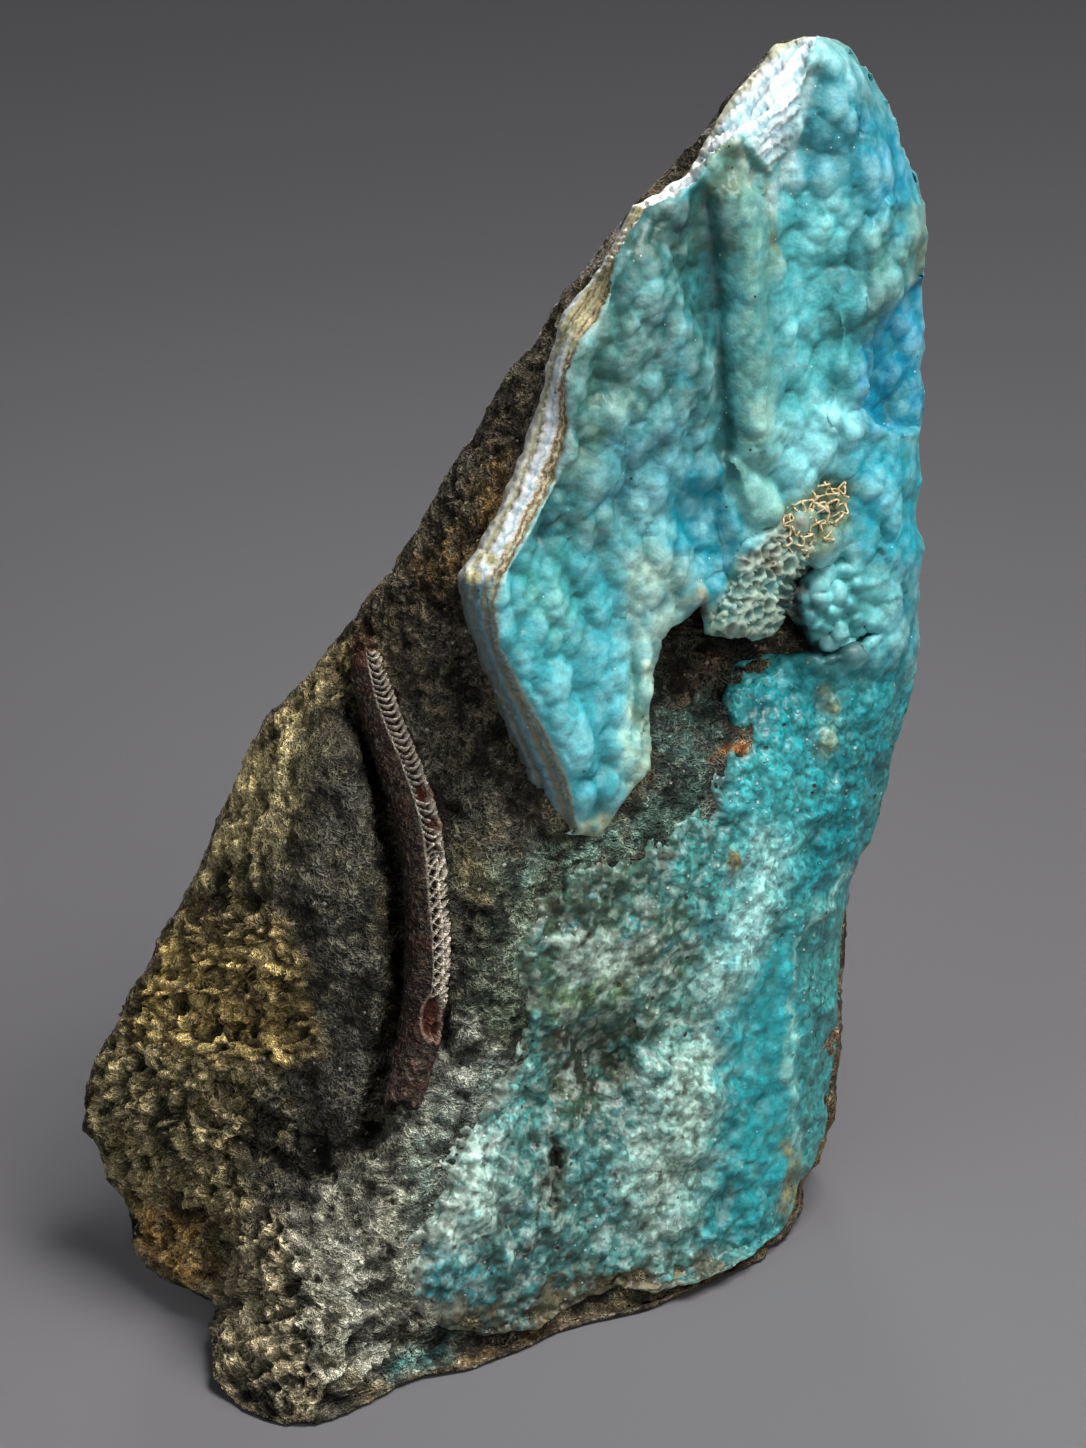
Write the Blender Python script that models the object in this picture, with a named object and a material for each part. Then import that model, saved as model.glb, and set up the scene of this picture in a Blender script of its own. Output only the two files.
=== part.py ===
# Raw hemimorphite specimen: a blue botryoidal crust grown on dark host rock, with a brown
# iron oxide tube lying in a channel of the rock.
#
# The shape is laid out in the photograph. A point of the surface is (x, y, depth): its pixel, and
# how far it stands towards the viewer, also in pixels. place() turns such a point into metres,
# with +Z up, the viewer at -Y, and the origin under the middle of the stone.

import math

import bmesh
import bpy
import numpy as np
from mathutils import Vector, noise

# Scale and view
PIXEL = 0.0001  # metres that one pixel spans at the middle of the stone
VIEW_CENTRE = (543.0, 724.0)
VIEW_TILT = math.radians(22.0)  # how far the viewer looks down
VIEW_DISTANCE = 7000.0  # viewer to the middle of the stone
ORIGIN = (-38.0, -70.0, -552.0)  # the middle of the stone's foot, seen from the view centre

# Clearances and mesh sizes, in pixels
GAP = 3.5  # between pieces that touch
ROCK_ROW_STEP = 7.0
ROCK_COLUMNS = 84
CRUST_STEP = 6.0
ROCK_TRIANGLES = 3000
CRUST_TRIANGLES = 3700

# The stone's outline, top to bottom
LEFT_OUTLINE = [
    (804, 38), (775, 45), (755, 68), (735, 90), (718, 112), (700, 140), (660, 178), (618, 228),
    (585, 270), (560, 295), (535, 342), (510, 370), (495, 400), (480, 430), (455, 465), (425, 515),
    (393, 565), (375, 590), (352, 620), (330, 648), (285, 700), (262, 720), (248, 750), (222, 810),
    (200, 870), (185, 895), (155, 945), (145, 970), (125, 1000), (120, 1020), (95, 1060), (88, 1090),
    (83, 1130), (100, 1150), (105, 1180), (125, 1200), (130, 1235), (135, 1255), (150, 1270),
    (180, 1285), (205, 1296), (217, 1308), (205, 1330), (208, 1350), (212, 1375), (228, 1395),
    (245, 1410), (270, 1420), (296, 1425),
]
RIGHT_OUTLINE = [
    (818, 37), (835, 42), (848, 50), (865, 68), (880, 92), (895, 120), (905, 155), (915, 180),
    (924, 205), (928, 235), (922, 270), (921, 300), (924, 330), (919, 370), (924, 405), (918, 440),
    (920, 480), (915, 520), (925, 550), (918, 580), (918, 650), (912, 690), (898, 735), (888, 780),
    (878, 820), (862, 860), (850, 890), (846, 930), (843, 980), (842, 1040), (835, 1080), (834, 1120),
    (820, 1160), (802, 1185), (803, 1205), (785, 1235), (760, 1258), (735, 1270), (700, 1285),
    (650, 1308), (600, 1318), (560, 1330), (520, 1350), (470, 1368), (430, 1372), (400, 1385),
    (350, 1412), (310, 1425),
]
ROCK_TUCK = 26.0  # how far the rock's right side hides behind the crust, above TUCK_END
TUCK_END = (800.0, 900.0)

# The crust's outline: right side, lower edge, left edge of the thin sheet, bay, then the thick plate
SHEET_OUTLINE = [
    (862, 858), (846, 884), (836, 930), (832, 980), (832, 1040), (826, 1080), (822, 1120), (806, 1155),
    (790, 1180), (788, 1205), (768, 1230), (745, 1248), (715, 1266), (690, 1284), (655, 1290),
    (620, 1284), (590, 1294), (565, 1306), (540, 1328), (500, 1334), (450, 1330), (425, 1318),
    (400, 1290), (402, 1240), (425, 1200), (440, 1150), (475, 1100), (508, 1060), (520, 1010),
    (505, 960), (530, 905), (565, 870), (620, 846), (665, 828), (700, 800), (712, 768), (738, 738),
    (722, 700), (736, 664), (772, 654), (812, 652),
]
BAY_OUTLINE = [
    (800, 628), (786, 612), (775, 636), (752, 640), (706, 632), (700, 606), (684, 618), (662, 640),
    (655, 668), (650, 700), (650, 770), (625, 800), (600, 838), (552, 834),
]
PLATE_OUTLINE = [
    (532, 790), (510, 735), (488, 680), (468, 625), (458, 574), (478, 548), (500, 505), (522, 450),
    (540, 400), (552, 350), (562, 312), (592, 280), (612, 248), (632, 205), (656, 196), (690, 172),
    (706, 142), (722, 112), (738, 90), (757, 68), (776, 46), (804, 38),
]
FRACTURE = [(556, 834), *PLATE_OUTLINE]  # the broken edge that shows the crust's layers
FRACTURE_WIDTH = [(38, 30), (150, 34), (300, 36), (450, 38), (575, 48), (700, 46), (834, 36)]
FRACTURE_DROP = 56.0
FREE_EDGE_WIDTH = 14.0
PLATE_THICKNESS = 84.0
PLATE_BED = 30.0  # how far the uncut rock reaches into the plate
SHEET_THICKNESS = 34.0
SHEET_BED = 16.0
SHEET_RISE = 4.0
FLOOR_CLEARANCE = 34.0  # of the crust's lower edge, as depth
CRUST_TURN = 34.0

# The face that the crust grew on, as a plane: depth at a point, and its slopes to the right and down
FACE_POINT = (293.0, 1420.0, 200.0)
FACE_SLOPE = (-0.80, -0.3725)

# Depths of the rock's surface, with the thin sheet on it
ROCK_FRONT = [
    (812, 60, 215), (900, 200, 90), (700, 200, 250), (600, 330, 280), (900, 450, 0), (700, 450, 160),
    (560, 450, 270), (480, 590, 275), (600, 650, 165), (700, 620, 62), (790, 600, 10), (905, 640, -8),
    (740, 700, 58), (690, 700, 88), (640, 800, 132), (800, 750, 30), (870, 800, -45), (700, 900, 60),
    (560, 900, 168), (830, 950, -75), (700, 1100, -5), (580, 1075, 62), (520, 1130, 120),
    (800, 1150, -118), (700, 1250, -75), (600, 1285, -5), (500, 1325, 66), (450, 1200, 152),
    (400, 1350, 140), (330, 1385, 216), (260, 1375, 190), (228, 1340, 140), (300, 1260, 190),
    (380, 1150, 172), (290, 1175, 105), (350, 1220, 172), (150, 1120, 30), (105, 1120, -25),
    (200, 1150, 70), (180, 1240, 25), (230, 1080, 90), (170, 990, 55), (250, 980, 120),
    (300, 1030, 132), (210, 930, 70), (250, 860, 110), (300, 800, 160), (340, 760, 178),
    (268, 775, 128), (350, 900, 196), (360, 1000, 172), (350, 1080, 150), (400, 750, 168),
    (420, 850, 184), (430, 950, 182), (415, 1050, 162), (450, 700, 195), (480, 800, 206),
    (490, 900, 216), (480, 1000, 190), (450, 1060, 172), (420, 620, 212), (380, 650, 165),
    (340, 680, 130), (450, 560, 238), (500, 450, 240), (560, 350, 252), (640, 230, 258),
]
# Depths of the line where the front turns into the back
SIDES = [
    (812, 38, 170), (700, 140, 190), (600, 250, 205), (535, 342, 200), (455, 465, 185),
    (393, 565, 150), (330, 648, 95), (262, 720, 45), (222, 810, 0), (185, 895, -35),
    (125, 1000, -60), (85, 1110, -85), (130, 1240, -70), (200, 1290, -20), (210, 1350, 110),
    (245, 1405, 175), (300, 1424, 212), (880, 92, 130), (924, 205, 85), (922, 300, 55),
    (920, 450, 10), (920, 550, -20), (915, 650, -55), (888, 780, -95), (850, 890, -140),
    (843, 1000, -175), (834, 1120, -200), (803, 1200, -200), (740, 1268, -96), (650, 1308, -15),
    (560, 1330, 26), (470, 1368, 104), (400, 1385, 138),
]
# Broken faces of the back: a point on each, and its slopes
BACK_FACES = [
    ((560, 760, -350), (-0.10, -0.50)),
    ((640, 300, -95), (0.15, -0.62)),
    ((300, 900, -200), (-0.95, -0.42)),
    ((480, 430, 20), (-1.05, -0.30)),
    ((800, 760, -330), (0.80, -0.55)),
    ((380, 1150, -330), (-0.72, -0.10)),
    ((700, 1150, -470), (0.62, -0.30)),
]
SIDE_ROUNDING = [(80, 105), (480, 85), (640, 55), (928, 42)]  # width of the turn, by x


def face_depth(x, y):
    """Depth of the plane that the crust grew on."""
    left, top, depth = FACE_POINT
    return depth + FACE_SLOPE[0] * (x - left) + FACE_SLOPE[1] * (y - top)


def floor_depth(y):
    """Depth at which a pixel of that row meets the surface that the stone stands on."""
    up = (VIEW_CENTRE[1] - y) * math.cos(VIEW_TILT)
    return (ORIGIN[2] - up) / (math.sin(VIEW_TILT) - up / VIEW_DISTANCE)


def place(x, y, depth):
    """World coordinates in metres of a point given by its pixel and depth."""
    spread = (VIEW_DISTANCE - depth) / VIEW_DISTANCE
    right = (x - VIEW_CENTRE[0]) * spread
    up = (VIEW_CENTRE[1] - y) * spread
    back = up * math.sin(VIEW_TILT) - depth * math.cos(VIEW_TILT)
    high = up * math.cos(VIEW_TILT) + depth * math.sin(VIEW_TILT)
    stacked = (right - ORIGIN[0], back - ORIGIN[1], high - ORIGIN[2])
    return np.stack(np.broadcast_arrays(*stacked), -1) * PIXEL


def smooth(t):
    t = np.clip(t, 0.0, 1.0)
    return t * t * (3.0 - 2.0 * t)


def round_over(t):
    """A quarter circle from 0 to 1."""
    return np.sqrt(1.0 - (1.0 - np.clip(t, 0.0, 1.0)) ** 2)


class Sheet:
    """A smooth surface through a few depth points, as a thin plate bends."""

    def __init__(self, posts, stiffness=6.0):
        posts = np.array(posts, float)
        self.at = posts[:, :2]
        count = len(posts)
        flat = np.c_[np.ones(count), self.at]
        bend = self.kernel(np.linalg.norm(self.at[:, None] - self.at[None], axis=2))
        bend += np.eye(count) * stiffness * 100.0
        system = np.block([[bend, flat], [flat.T, np.zeros((3, 3))]])
        self.weights = np.linalg.solve(system, np.r_[posts[:, 2], np.zeros(3)])

    @staticmethod
    def kernel(r):
        return r * r * np.log(np.maximum(r, 1e-6))

    def __call__(self, x, y):
        depth = self.weights[-3] + self.weights[-2] * x + self.weights[-1] * y
        for (px, py), weight in zip(self.at, self.weights):
            depth = depth + weight * self.kernel(np.hypot(x - px, y - py))
        return depth


def distance_to(line, x, y):
    """Distance from each point to an open line of points."""
    nearest = np.full(np.shape(x), 1e9)
    for (ax, ay), (bx, by) in zip(line, line[1:]):
        dx, dy = bx - ax, by - ay
        along = np.clip(((x - ax) * dx + (y - ay) * dy) / (dx * dx + dy * dy), 0.0, 1.0)
        nearest = np.minimum(nearest, np.hypot(x - ax - along * dx, y - ay - along * dy))
    return nearest


def inside(polygon, x, y):
    """True where a point lies in the polygon."""
    found = np.zeros(np.shape(x), bool)
    for (ax, ay), (bx, by) in zip(polygon, polygon[1:] + polygon[:1]):
        if ay != by:
            crosses = ((ay > y) != (by > y)) & (x < (bx - ax) * (y - ay) / (by - ay) + ax)
            found ^= crosses
    return found


def depth_inside(polygon, x, y):
    """Distance to the polygon's edge, positive inside it."""
    edge = distance_to(polygon + polygon[:1], x, y)
    return np.where(inside(polygon, x, y), edge, -edge)


def keyed(keys, t):
    """A value that runs smoothly through (t, value) keys."""
    at, values = zip(*keys)
    return np.interp(t, at, values)


# Forms of the rock's surface: (line, half width, height)
ROCK_LINES = [
    ([(348, 672), (362, 735), (380, 800), (394, 870), (398, 940), (396, 1010), (384, 1075), (370, 1135)], 17, -46),
    ([(176, 912), (200, 907), (232, 904), (262, 902)], 7, -24),
    ([(170, 928), (215, 921), (262, 920)], 12, 10),
    ([(140, 1002), (210, 1008), (300, 1012)], 9, -22),
    ([(150, 975), (215, 978), (290, 984)], 8, -16),
    ([(208, 1024), (250, 1030), (290, 1032)], 11, -28),
    ([(552, 1140), (553, 1168), (549, 1205)], 7, -18),
    ([(552, 862), (556, 890), (562, 925)], 14, -16),
    ([(440, 1020), (448, 1052), (462, 1062)], 12, -20),
    ([(520, 1085), (535, 1120), (528, 1145)], 12, -14),
    ([(372, 1135), (345, 1165), (300, 1178), (262, 1150)], 15, -18),
    ([(300, 1215), (297, 1262), (303, 1300), (318, 1345)], 5, 7),
    ([(385, 1338), (430, 1342), (500, 1340)], 6, -14),
    ([(215, 1215), (222, 1262), (216, 1300)], 14, -22),
]
ROCK_PITS = [
    (175, 957, 10, -26), (238, 1093, 16, -32), (205, 1108, 13, -22), (258, 1122, 16, -34),
    (232, 1160, 15, -22), (290, 1100, 18, -26), (150, 1180, 16, -22), (190, 1215, 17, -26),
    (242, 1345, 15, -24), (262, 1300, 14, -16), (363, 1300, 8, -10), (500, 1112, 10, -12),
    (300, 722, 14, -16), (545, 960, 12, -9), (470, 1095, 10, -12), (150, 1245, 16, -18),
    (690, 705, 34, -14), (600, 1060, 30, -12),
]
ROCK_GRAIN = [(0.0065, 11.0), (0.018, 5.0)]  # frequency and height of the broken surface

# The plate's relief above the face plane: (line, width to its left, width to its right, height)
PLATE_LINES = [
    ([(742, 150), (757, 205), (765, 260), (771, 330), (776, 405)], 34, 10, 26),
    ([(704, 205), (712, 260), (718, 330), (716, 400), (722, 450)], 14, 12, -38),
    ([(820, 110), (826, 220), (822, 330)], 36, 30, -20),
    ([(520, 640), (556, 700), (598, 788)], 24, 20, 13),
    ([(628, 640), (634, 725)], 20, 12, -15),
    ([(646, 668), (644, 760)], 7, 7, 8),
    ([(640, 255), (672, 340), (660, 430)], 36, 34, 14),
]
# Fields raised or sunk behind a sharp edge: (polygon, width of the edge, height)
PLATE_FIELDS = [
    ([(905, 286), (935, 270), (935, 432), (898, 436), (872, 426), (850, 412), (862, 382), (868, 335), (882, 308)], 9, -52),
    ([(866, 240), (882, 196), (902, 186), (935, 200), (932, 240), (906, 286), (882, 308), (868, 332)], 16, 10),
    ([(720, 448), (742, 458), (768, 480), (790, 510), (782, 532), (746, 526), (736, 500)], 9, 22),
    ([(668, 480), (722, 470), (742, 540), (742, 590), (700, 596), (672, 560)], 24, -22),
    ([(742, 540), (802, 508), (846, 492), (842, 545), (804, 568), (792, 600), (786, 640), (706, 636), (718, 606)], 10, 14),
    ([(790, 578), (812, 556), (848, 546), (884, 554), (898, 590), (888, 628), (862, 650), (822, 664), (798, 640)], 18, -30),
]
# The same on the thin sheet
SHEET_FIELDS = [
    ([(870, 850), (822, 905), (802, 940), (786, 1000), (788, 1080), (797, 1150), (780, 1240), (900, 1240), (900, 850)], 10, -12),
    ([(620, 1050), (700, 1040), (740, 1100), (720, 1230), (650, 1262), (600, 1200), (590, 1120)], 30, 14),
    ([(690, 900), (770, 890), (780, 1010), (730, 1100), (680, 1010)], 40, 8),
    ([(560, 1020), (640, 1010), (650, 1080), (580, 1115)], 22, -16),
    ([(410, 1230), (470, 1140), (520, 1150), (520, 1290), (440, 1310)], 22, 9),
]
# The cauliflower knob on the plate, and two nodules below it: (x, y, radius, rise)
KNOB = [
    (812, 590, 19, 20), (838, 572, 18, 22), (864, 572, 20, 20), (880, 592, 13, 8), (832, 606, 21, 30),
    (856, 604, 20, 26), (804, 616, 12, 8), (822, 628, 16, 16), (846, 630, 16, 18), (866, 618, 13, 12),
    (834, 648, 11, 4),
]
NODULES = [(829, 700, 13, 12), (824, 738, 13, 10), (838, 722, 9, 6)]

# The crust's lumps
LUMP_SEED = 11
LUMP_SPACING = (24.0, 40.0)
LUMP_RISE = 0.42  # of a lump's spacing


def rock_relief(x, y):
    """Ledges, grooves and pits of the rock."""
    rise = np.zeros(np.shape(x))
    for line, width, height in ROCK_LINES:
        rise = rise + height * np.exp(-((distance_to(line, x, y) / width) ** 2))
    for px, py, radius, height in ROCK_PITS:
        rise = rise + height * np.exp(-(((x - px) ** 2 + (y - py) ** 2) / radius**2))
    return rise


def crust_outline():
    right = [point for point in RIGHT_OUTLINE if point[1] < SHEET_OUTLINE[0][1]]
    return right + SHEET_OUTLINE + BAY_OUTLINE + PLATE_OUTLINE


def sheet_outline():
    right = [point for point in RIGHT_OUTLINE if 640 < point[1] < SHEET_OUTLINE[0][1]]
    return SHEET_OUTLINE + [(835, 650)] + right


HINGE = [(838, 652), (925, 636)]  # where the thick plate runs down into the thin sheet
HINGE_WIDTH = 70.0


def plate_share(x, y):
    """1 on the thick plate, 0 on the thin sheet."""
    past_hinge = smooth(distance_to(HINGE, x, y) / HINGE_WIDTH)
    return 1.0 - past_hinge * (depth_inside(sheet_outline(), x, y) > -3.0)


def plate_relief(x, y):
    rise = np.zeros(np.shape(x))
    for line, left_width, right_width, height in PLATE_LINES:
        columns, rows = zip(*line)
        on_left = x < np.interp(y, rows, columns)
        width = np.where(on_left, left_width, right_width)
        rise = rise + height * np.exp(-((distance_to(line, x, y) / width) ** 2))
    return rise + field_relief(PLATE_FIELDS, x, y)


def field_relief(fields, x, y):
    rise = np.zeros(np.shape(x))
    for polygon, width, height in fields:
        rise = rise + height * smooth(depth_inside(polygon, x, y) / width)
    return rise


def lump_field(x, y, lumps):
    """Round lumps side by side: each point takes the dome of the lump that is nearest."""
    rise = np.full(np.shape(x), -1.0)
    for px, py, spacing in lumps:
        across, down = (x - px) / 0.84, y - py
        dome = 1.0 - (across**2 + down**2) / spacing**2
        rise = np.maximum(rise, LUMP_RISE * spacing * np.where(dome > -1.0, dome, -1.0))
    return rise


def scatter_lumps():
    """Centres of the lumps on the plate, kept apart by their own size."""
    chance = np.random.default_rng(LUMP_SEED)
    outline = crust_outline()
    lumps = []
    for _ in range(7000):
        x, y = chance.uniform(400, 930), chance.uniform(30, 1340)
        size = chance.uniform(*LUMP_SPACING) * (1.0 if y < 600 else 0.75)
        near = any(math.hypot(x - px, y - py) < 0.72 * max(size, ps) for px, py, ps in lumps)
        if not near and inside(outline, np.array(x), np.array(y)):
            lumps.append((x, y, size))
    return lumps


class Stone:
    """The depths of every surface, worked out once."""

    def __init__(self):
        self.front = Sheet(ROCK_FRONT)
        self.sides = Sheet(SIDES, stiffness=0.5)
        self.outline = RIGHT_OUTLINE + LEFT_OUTLINE[::-1]
        self.rock_outline = [self.tucked(*p) for p in RIGHT_OUTLINE] + LEFT_OUTLINE[::-1]
        self.crust = crust_outline()
        self.lumps = scatter_lumps()

    @staticmethod
    def tucked(x, y):
        return x - ROCK_TUCK * float(smooth((TUCK_END[1] - y) / (TUCK_END[1] - TUCK_END[0]))), y

    def side(self, x, y):
        return np.maximum(self.sides(x, y), floor_depth(y) + 4.0)

    def turned(self, full, x, y, outline):
        """A surface that turns over into the side at the outline."""
        width = keyed(SIDE_ROUNDING, x)
        reach = round_over(distance_to(outline + outline[:1], x, y) / width)
        side = self.side(x, y)
        return side + reach * (full - side)

    def rock_visible(self, x, y):
        """The rock with the thin sheet on it, as it shows."""
        full = self.front(x, y) + rock_relief(x, y)
        return self.turned(full, x, y, self.outline)

    def rock(self, x, y):
        """The rock before the crust is cut from it: it ends inside the crust's thickness."""
        full = self.front(x, y) + rock_relief(x, y)
        under = smooth((depth_inside(self.crust, x, y) + 6.0) / 14.0)
        share = plate_share(x, y)
        full = full - SHEET_BED * under * (1.0 - share)
        filled = np.maximum(full, face_depth(x, y) - PLATE_THICKNESS + PLATE_BED)
        off_bay = smooth((distance_to(BAY_OUTLINE, x, y) - 30.0) / 50.0)
        full = full + (filled - full) * under * share * off_bay
        return self.turned(full, x, y, self.rock_outline)

    def rock_back(self, x, y):
        faces = [
            depth + across * (x - px) + down * (y - py)
            for (px, py, depth), (across, down) in BACK_FACES
        ]
        back = np.minimum(np.max(faces, axis=0), self.side(x, y) - 6.0)
        turned = self.turned(back, x, y, self.rock_outline)
        return np.maximum(turned, floor_depth(y) - 12.0)

    def crust_full(self, x, y):
        """The crust's face, before it turns over at the stone's outline."""
        share = plate_share(x, y)
        lumps = lump_field(x, y, self.lumps)
        plate = face_depth(x, y) + plate_relief(x, y) + lumps
        fracture = distance_to(FRACTURE, x, y) / keyed(FRACTURE_WIDTH, y)
        plate -= FRACTURE_DROP * (1.0 - np.clip(fracture, 0.0, 1.0))
        sheet = self.rock_visible(x, y) + SHEET_RISE + field_relief(SHEET_FIELDS, x, y) + 0.4 * lumps
        face = share * plate + (1.0 - share) * sheet
        for px, py, radius, rise in KNOB + NODULES:
            ball = 1.0 - ((x - px) ** 2 + (y - py) ** 2) / radius**2
            at_plate = plate_share(px, py)
            level = at_plate * (face_depth(px, py) - 22.0) + (1.0 - at_plate) * self.front(px, py)
            ball_face = level + rise * np.sqrt(np.abs(ball))
            face = np.where(ball > 0, np.maximum(face, ball_face), face)
        edge = depth_inside(self.crust, x, y) / FREE_EDGE_WIDTH
        return face - (3.0 + 9.0 * share) * (1.0 - round_over(edge))

    def crust_front(self, x, y):
        full = self.crust_full(x, y)
        side = np.clip(self.side(x, y), self.crust_bed(x, y) + 8.0, full)
        reach = round_over(distance_to(self.outline + self.outline[:1], x, y) / CRUST_TURN)
        return np.maximum(side + reach * (full - side), floor_depth(y) + FLOOR_CLEARANCE + 8.0)

    def crust_bed(self, x, y):
        share = plate_share(x, y)
        plate = face_depth(x, y) - PLATE_THICKNESS
        sheet = self.rock_visible(x, y) - SHEET_THICKNESS
        return np.maximum(share * plate + (1.0 - share) * sheet, floor_depth(y) + FLOOR_CLEARANCE)

    def crust_back(self, x, y):
        return np.minimum(self.crust_bed(x, y), self.crust_front(x, y) - 8.0)


def new_object(name, bm):
    mesh = bpy.data.meshes.new(name)
    bm.to_mesh(mesh)
    bm.free()
    made = bpy.data.objects.new(name, mesh)
    bpy.context.collection.objects.link(made)
    return made


def loop_grid(bm, rings):
    """Faces between rings of equal length, closed at both ends by a fan."""
    rings = [[bm.verts.new(point) for point in ring] for ring in rings]
    count = len(rings[0])
    for above, below in zip(rings, rings[1:]):
        for j in range(count):
            k = (j + 1) % count
            bm.faces.new((above[j], above[k], below[k], below[j]))
    for ring in (rings[0], rings[-1]):
        middle = bm.verts.new(sum((v.co for v in ring), Vector()) / count)
        for j in range(count):
            bm.faces.new((middle, ring[j], ring[(j + 1) % count]))
    bmesh.ops.recalc_face_normals(bm, faces=bm.faces)


def roughen(bm, grain):
    """Moves each point along its normal by layers of noise, (frequency per pixel, height)."""
    bm.normal_update()
    moves = []
    for v in bm.verts:
        at = v.co / PIXEL + Vector(ORIGIN)
        moves.append(sum(height * noise.noise(at * often) for often, height in grain) * PIXEL)
    for v, move in zip(bm.verts, moves):
        v.co += v.normal * move


def thinned(obj, triangles):
    """The object's mesh as bmesh, collapsed to about so many triangles."""
    now = sum(len(face.vertices) - 2 for face in obj.data.polygons)
    collapse = obj.modifiers.new("Collapse", "DECIMATE")
    collapse.ratio = triangles / now
    collapse.use_collapse_triangulate = True
    bm = bmesh.new()
    bm.from_object(obj, bpy.context.evaluated_depsgraph_get())
    bpy.data.objects.remove(obj)
    return bm


def cut_flat(bm):
    """Cuts off what is below the surface that the stone stands on, and closes the cut."""
    everything = bm.verts[:] + bm.edges[:] + bm.faces[:]
    cut = bmesh.ops.bisect_plane(
        bm, geom=everything, dist=1e-6, plane_co=(0, 0, 0), plane_no=(0, 0, 1), clear_inner=True
    )
    rim = [piece for piece in cut["geom_cut"] if isinstance(piece, bmesh.types.BMEdge)]
    bmesh.ops.holes_fill(bm, edges=rim, sides=0)
    bmesh.ops.triangulate(bm, faces=bm.faces)


def keep_largest(bm):
    """Deletes every loose piece but the one with the most faces."""
    left = set(bm.faces)
    pieces = []
    while left:
        piece, edge_of_piece = set(), [left.pop()]
        while edge_of_piece:
            face = edge_of_piece.pop()
            piece.add(face)
            for edge in face.edges:
                for other in edge.link_faces:
                    if other in left:
                        left.remove(other)
                        edge_of_piece.append(other)
        pieces.append(piece)
    pieces.sort(key=len)
    small = [face for piece in pieces[:-1] for face in piece]
    bmesh.ops.delete(bm, geom=small, context="FACES")


def make_rock(stone):
    """The uncut rock: rings of points at the rows of the photograph, front and back."""
    left_x, left_y = zip(*LEFT_OUTLINE)
    right_x, right_y = zip(*[stone.tucked(*point) for point in RIGHT_OUTLINE])
    rows = np.arange(LEFT_OUTLINE[0][1] + 2, LEFT_OUTLINE[-1][1] - 1, ROCK_ROW_STEP)
    turn = np.linspace(math.pi, -math.pi, 2 * ROCK_COLUMNS, endpoint=False)
    rings = []
    for y in rows:
        low, high = np.interp(y, left_y, left_x), np.interp(y, right_y, right_x)
        x = (low + high) / 2 + (high - low) / 2 * np.cos(turn)
        y = np.full(x.shape, y)
        depth = np.where(turn > 0, stone.rock(x, y), stone.rock_back(x, y))
        rings.append(place(x, y, depth))
    bm = bmesh.new()
    loop_grid(bm, rings)
    roughen(bm, ROCK_GRAIN)
    bm = thinned(new_object("rough_rock", bm), ROCK_TRIANGLES)
    cut_flat(bm)
    keep_largest(bm)
    return new_object("uncut_rock", bm)


def slab(outline, front, back, step):
    """A closed body between two surfaces, over the cells of a grid that lie in the outline."""
    columns, rows = np.array(outline).T
    x, y = np.meshgrid(
        np.arange(columns.min() - 2 * step, columns.max() + 2 * step, step),
        np.arange(rows.min() - 2 * step, rows.max() + 2 * step, step),
    )
    within = inside(outline, x, y)
    cells = within[:-1, :-1] & within[1:, :-1] & within[:-1, 1:] & within[1:, 1:]
    cells = without_corner_contacts(cells)
    used = np.zeros(x.shape, int)
    for rows_from, columns_from in ((0, 0), (0, 1), (1, 0), (1, 1)):
        tall, wide = cells.shape
        used[rows_from : rows_from + tall, columns_from : columns_from + wide] += cells
    rim = (used > 0) & (used < 4)
    x, y = snapped(outline, x, y, rim, step)
    faces_up, faces_down = place(x, y, front(x, y)), place(x, y, back(x, y))
    bm = bmesh.new()
    index = {}
    for i, j in zip(*np.nonzero(used)):
        index[i, j] = bm.verts.new(faces_up[i, j]), bm.verts.new(faces_down[i, j])
    for i, j in zip(*np.nonzero(cells)):
        corners = [index[i, j], index[i + 1, j], index[i + 1, j + 1], index[i, j + 1]]
        bm.faces.new([top for top, _ in corners])
        bm.faces.new([bottom for _, bottom in reversed(corners)])
    for edge in [edge for edge in bm.edges if len(edge.link_faces) == 1]:
        edge.tag = True
    tops = {top: bottom for top, bottom in index.values()}
    for edge in [edge for edge in bm.edges if edge.tag and edge.verts[0] in tops]:
        a, b = edge.verts
        bm.faces.new((a, b, tops[b], tops[a]))
    bmesh.ops.recalc_face_normals(bm, faces=bm.faces)
    return bm


def without_corner_contacts(cells):
    """Adds cells until no two of them touch at a corner alone."""
    cells = np.pad(cells, 1)
    while True:
        a, b, c, d = cells[:-1, :-1], cells[:-1, 1:], cells[1:, :-1], cells[1:, 1:]
        falling = a & d & ~b & ~c
        rising = b & c & ~a & ~d
        if not (falling | rising).any():
            return cells[1:-1, 1:-1]
        cells[:-1, 1:] |= falling
        cells[:-1, :-1] |= rising


def snapped(outline, x, y, rim, step):
    """Moves the points of the rim onto the outline."""
    x, y = x.copy(), y.copy()
    closed = outline + outline[:1]
    for i, j in zip(*np.nonzero(rim)):
        at = Vector((x[i, j], y[i, j]))
        best, where = 2.0 * step, at
        for a, b in zip(closed, closed[1:]):
            a, b = Vector(a), Vector(b)
            along = max(0.0, min(1.0, (at - a).dot(b - a) / (b - a).length_squared))
            found = a.lerp(b, along)
            if (found - at).length < best:
                best, where = (found - at).length, found
        x[i, j], y[i, j] = where
    return x, y


def make_crust(stone):
    bm = slab(stone.crust, stone.crust_front, stone.crust_back, CRUST_STEP)
    bm = thinned(new_object("rough_crust", bm), CRUST_TRIANGLES)
    return new_object("hemimorphite_crust", bm)


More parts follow.
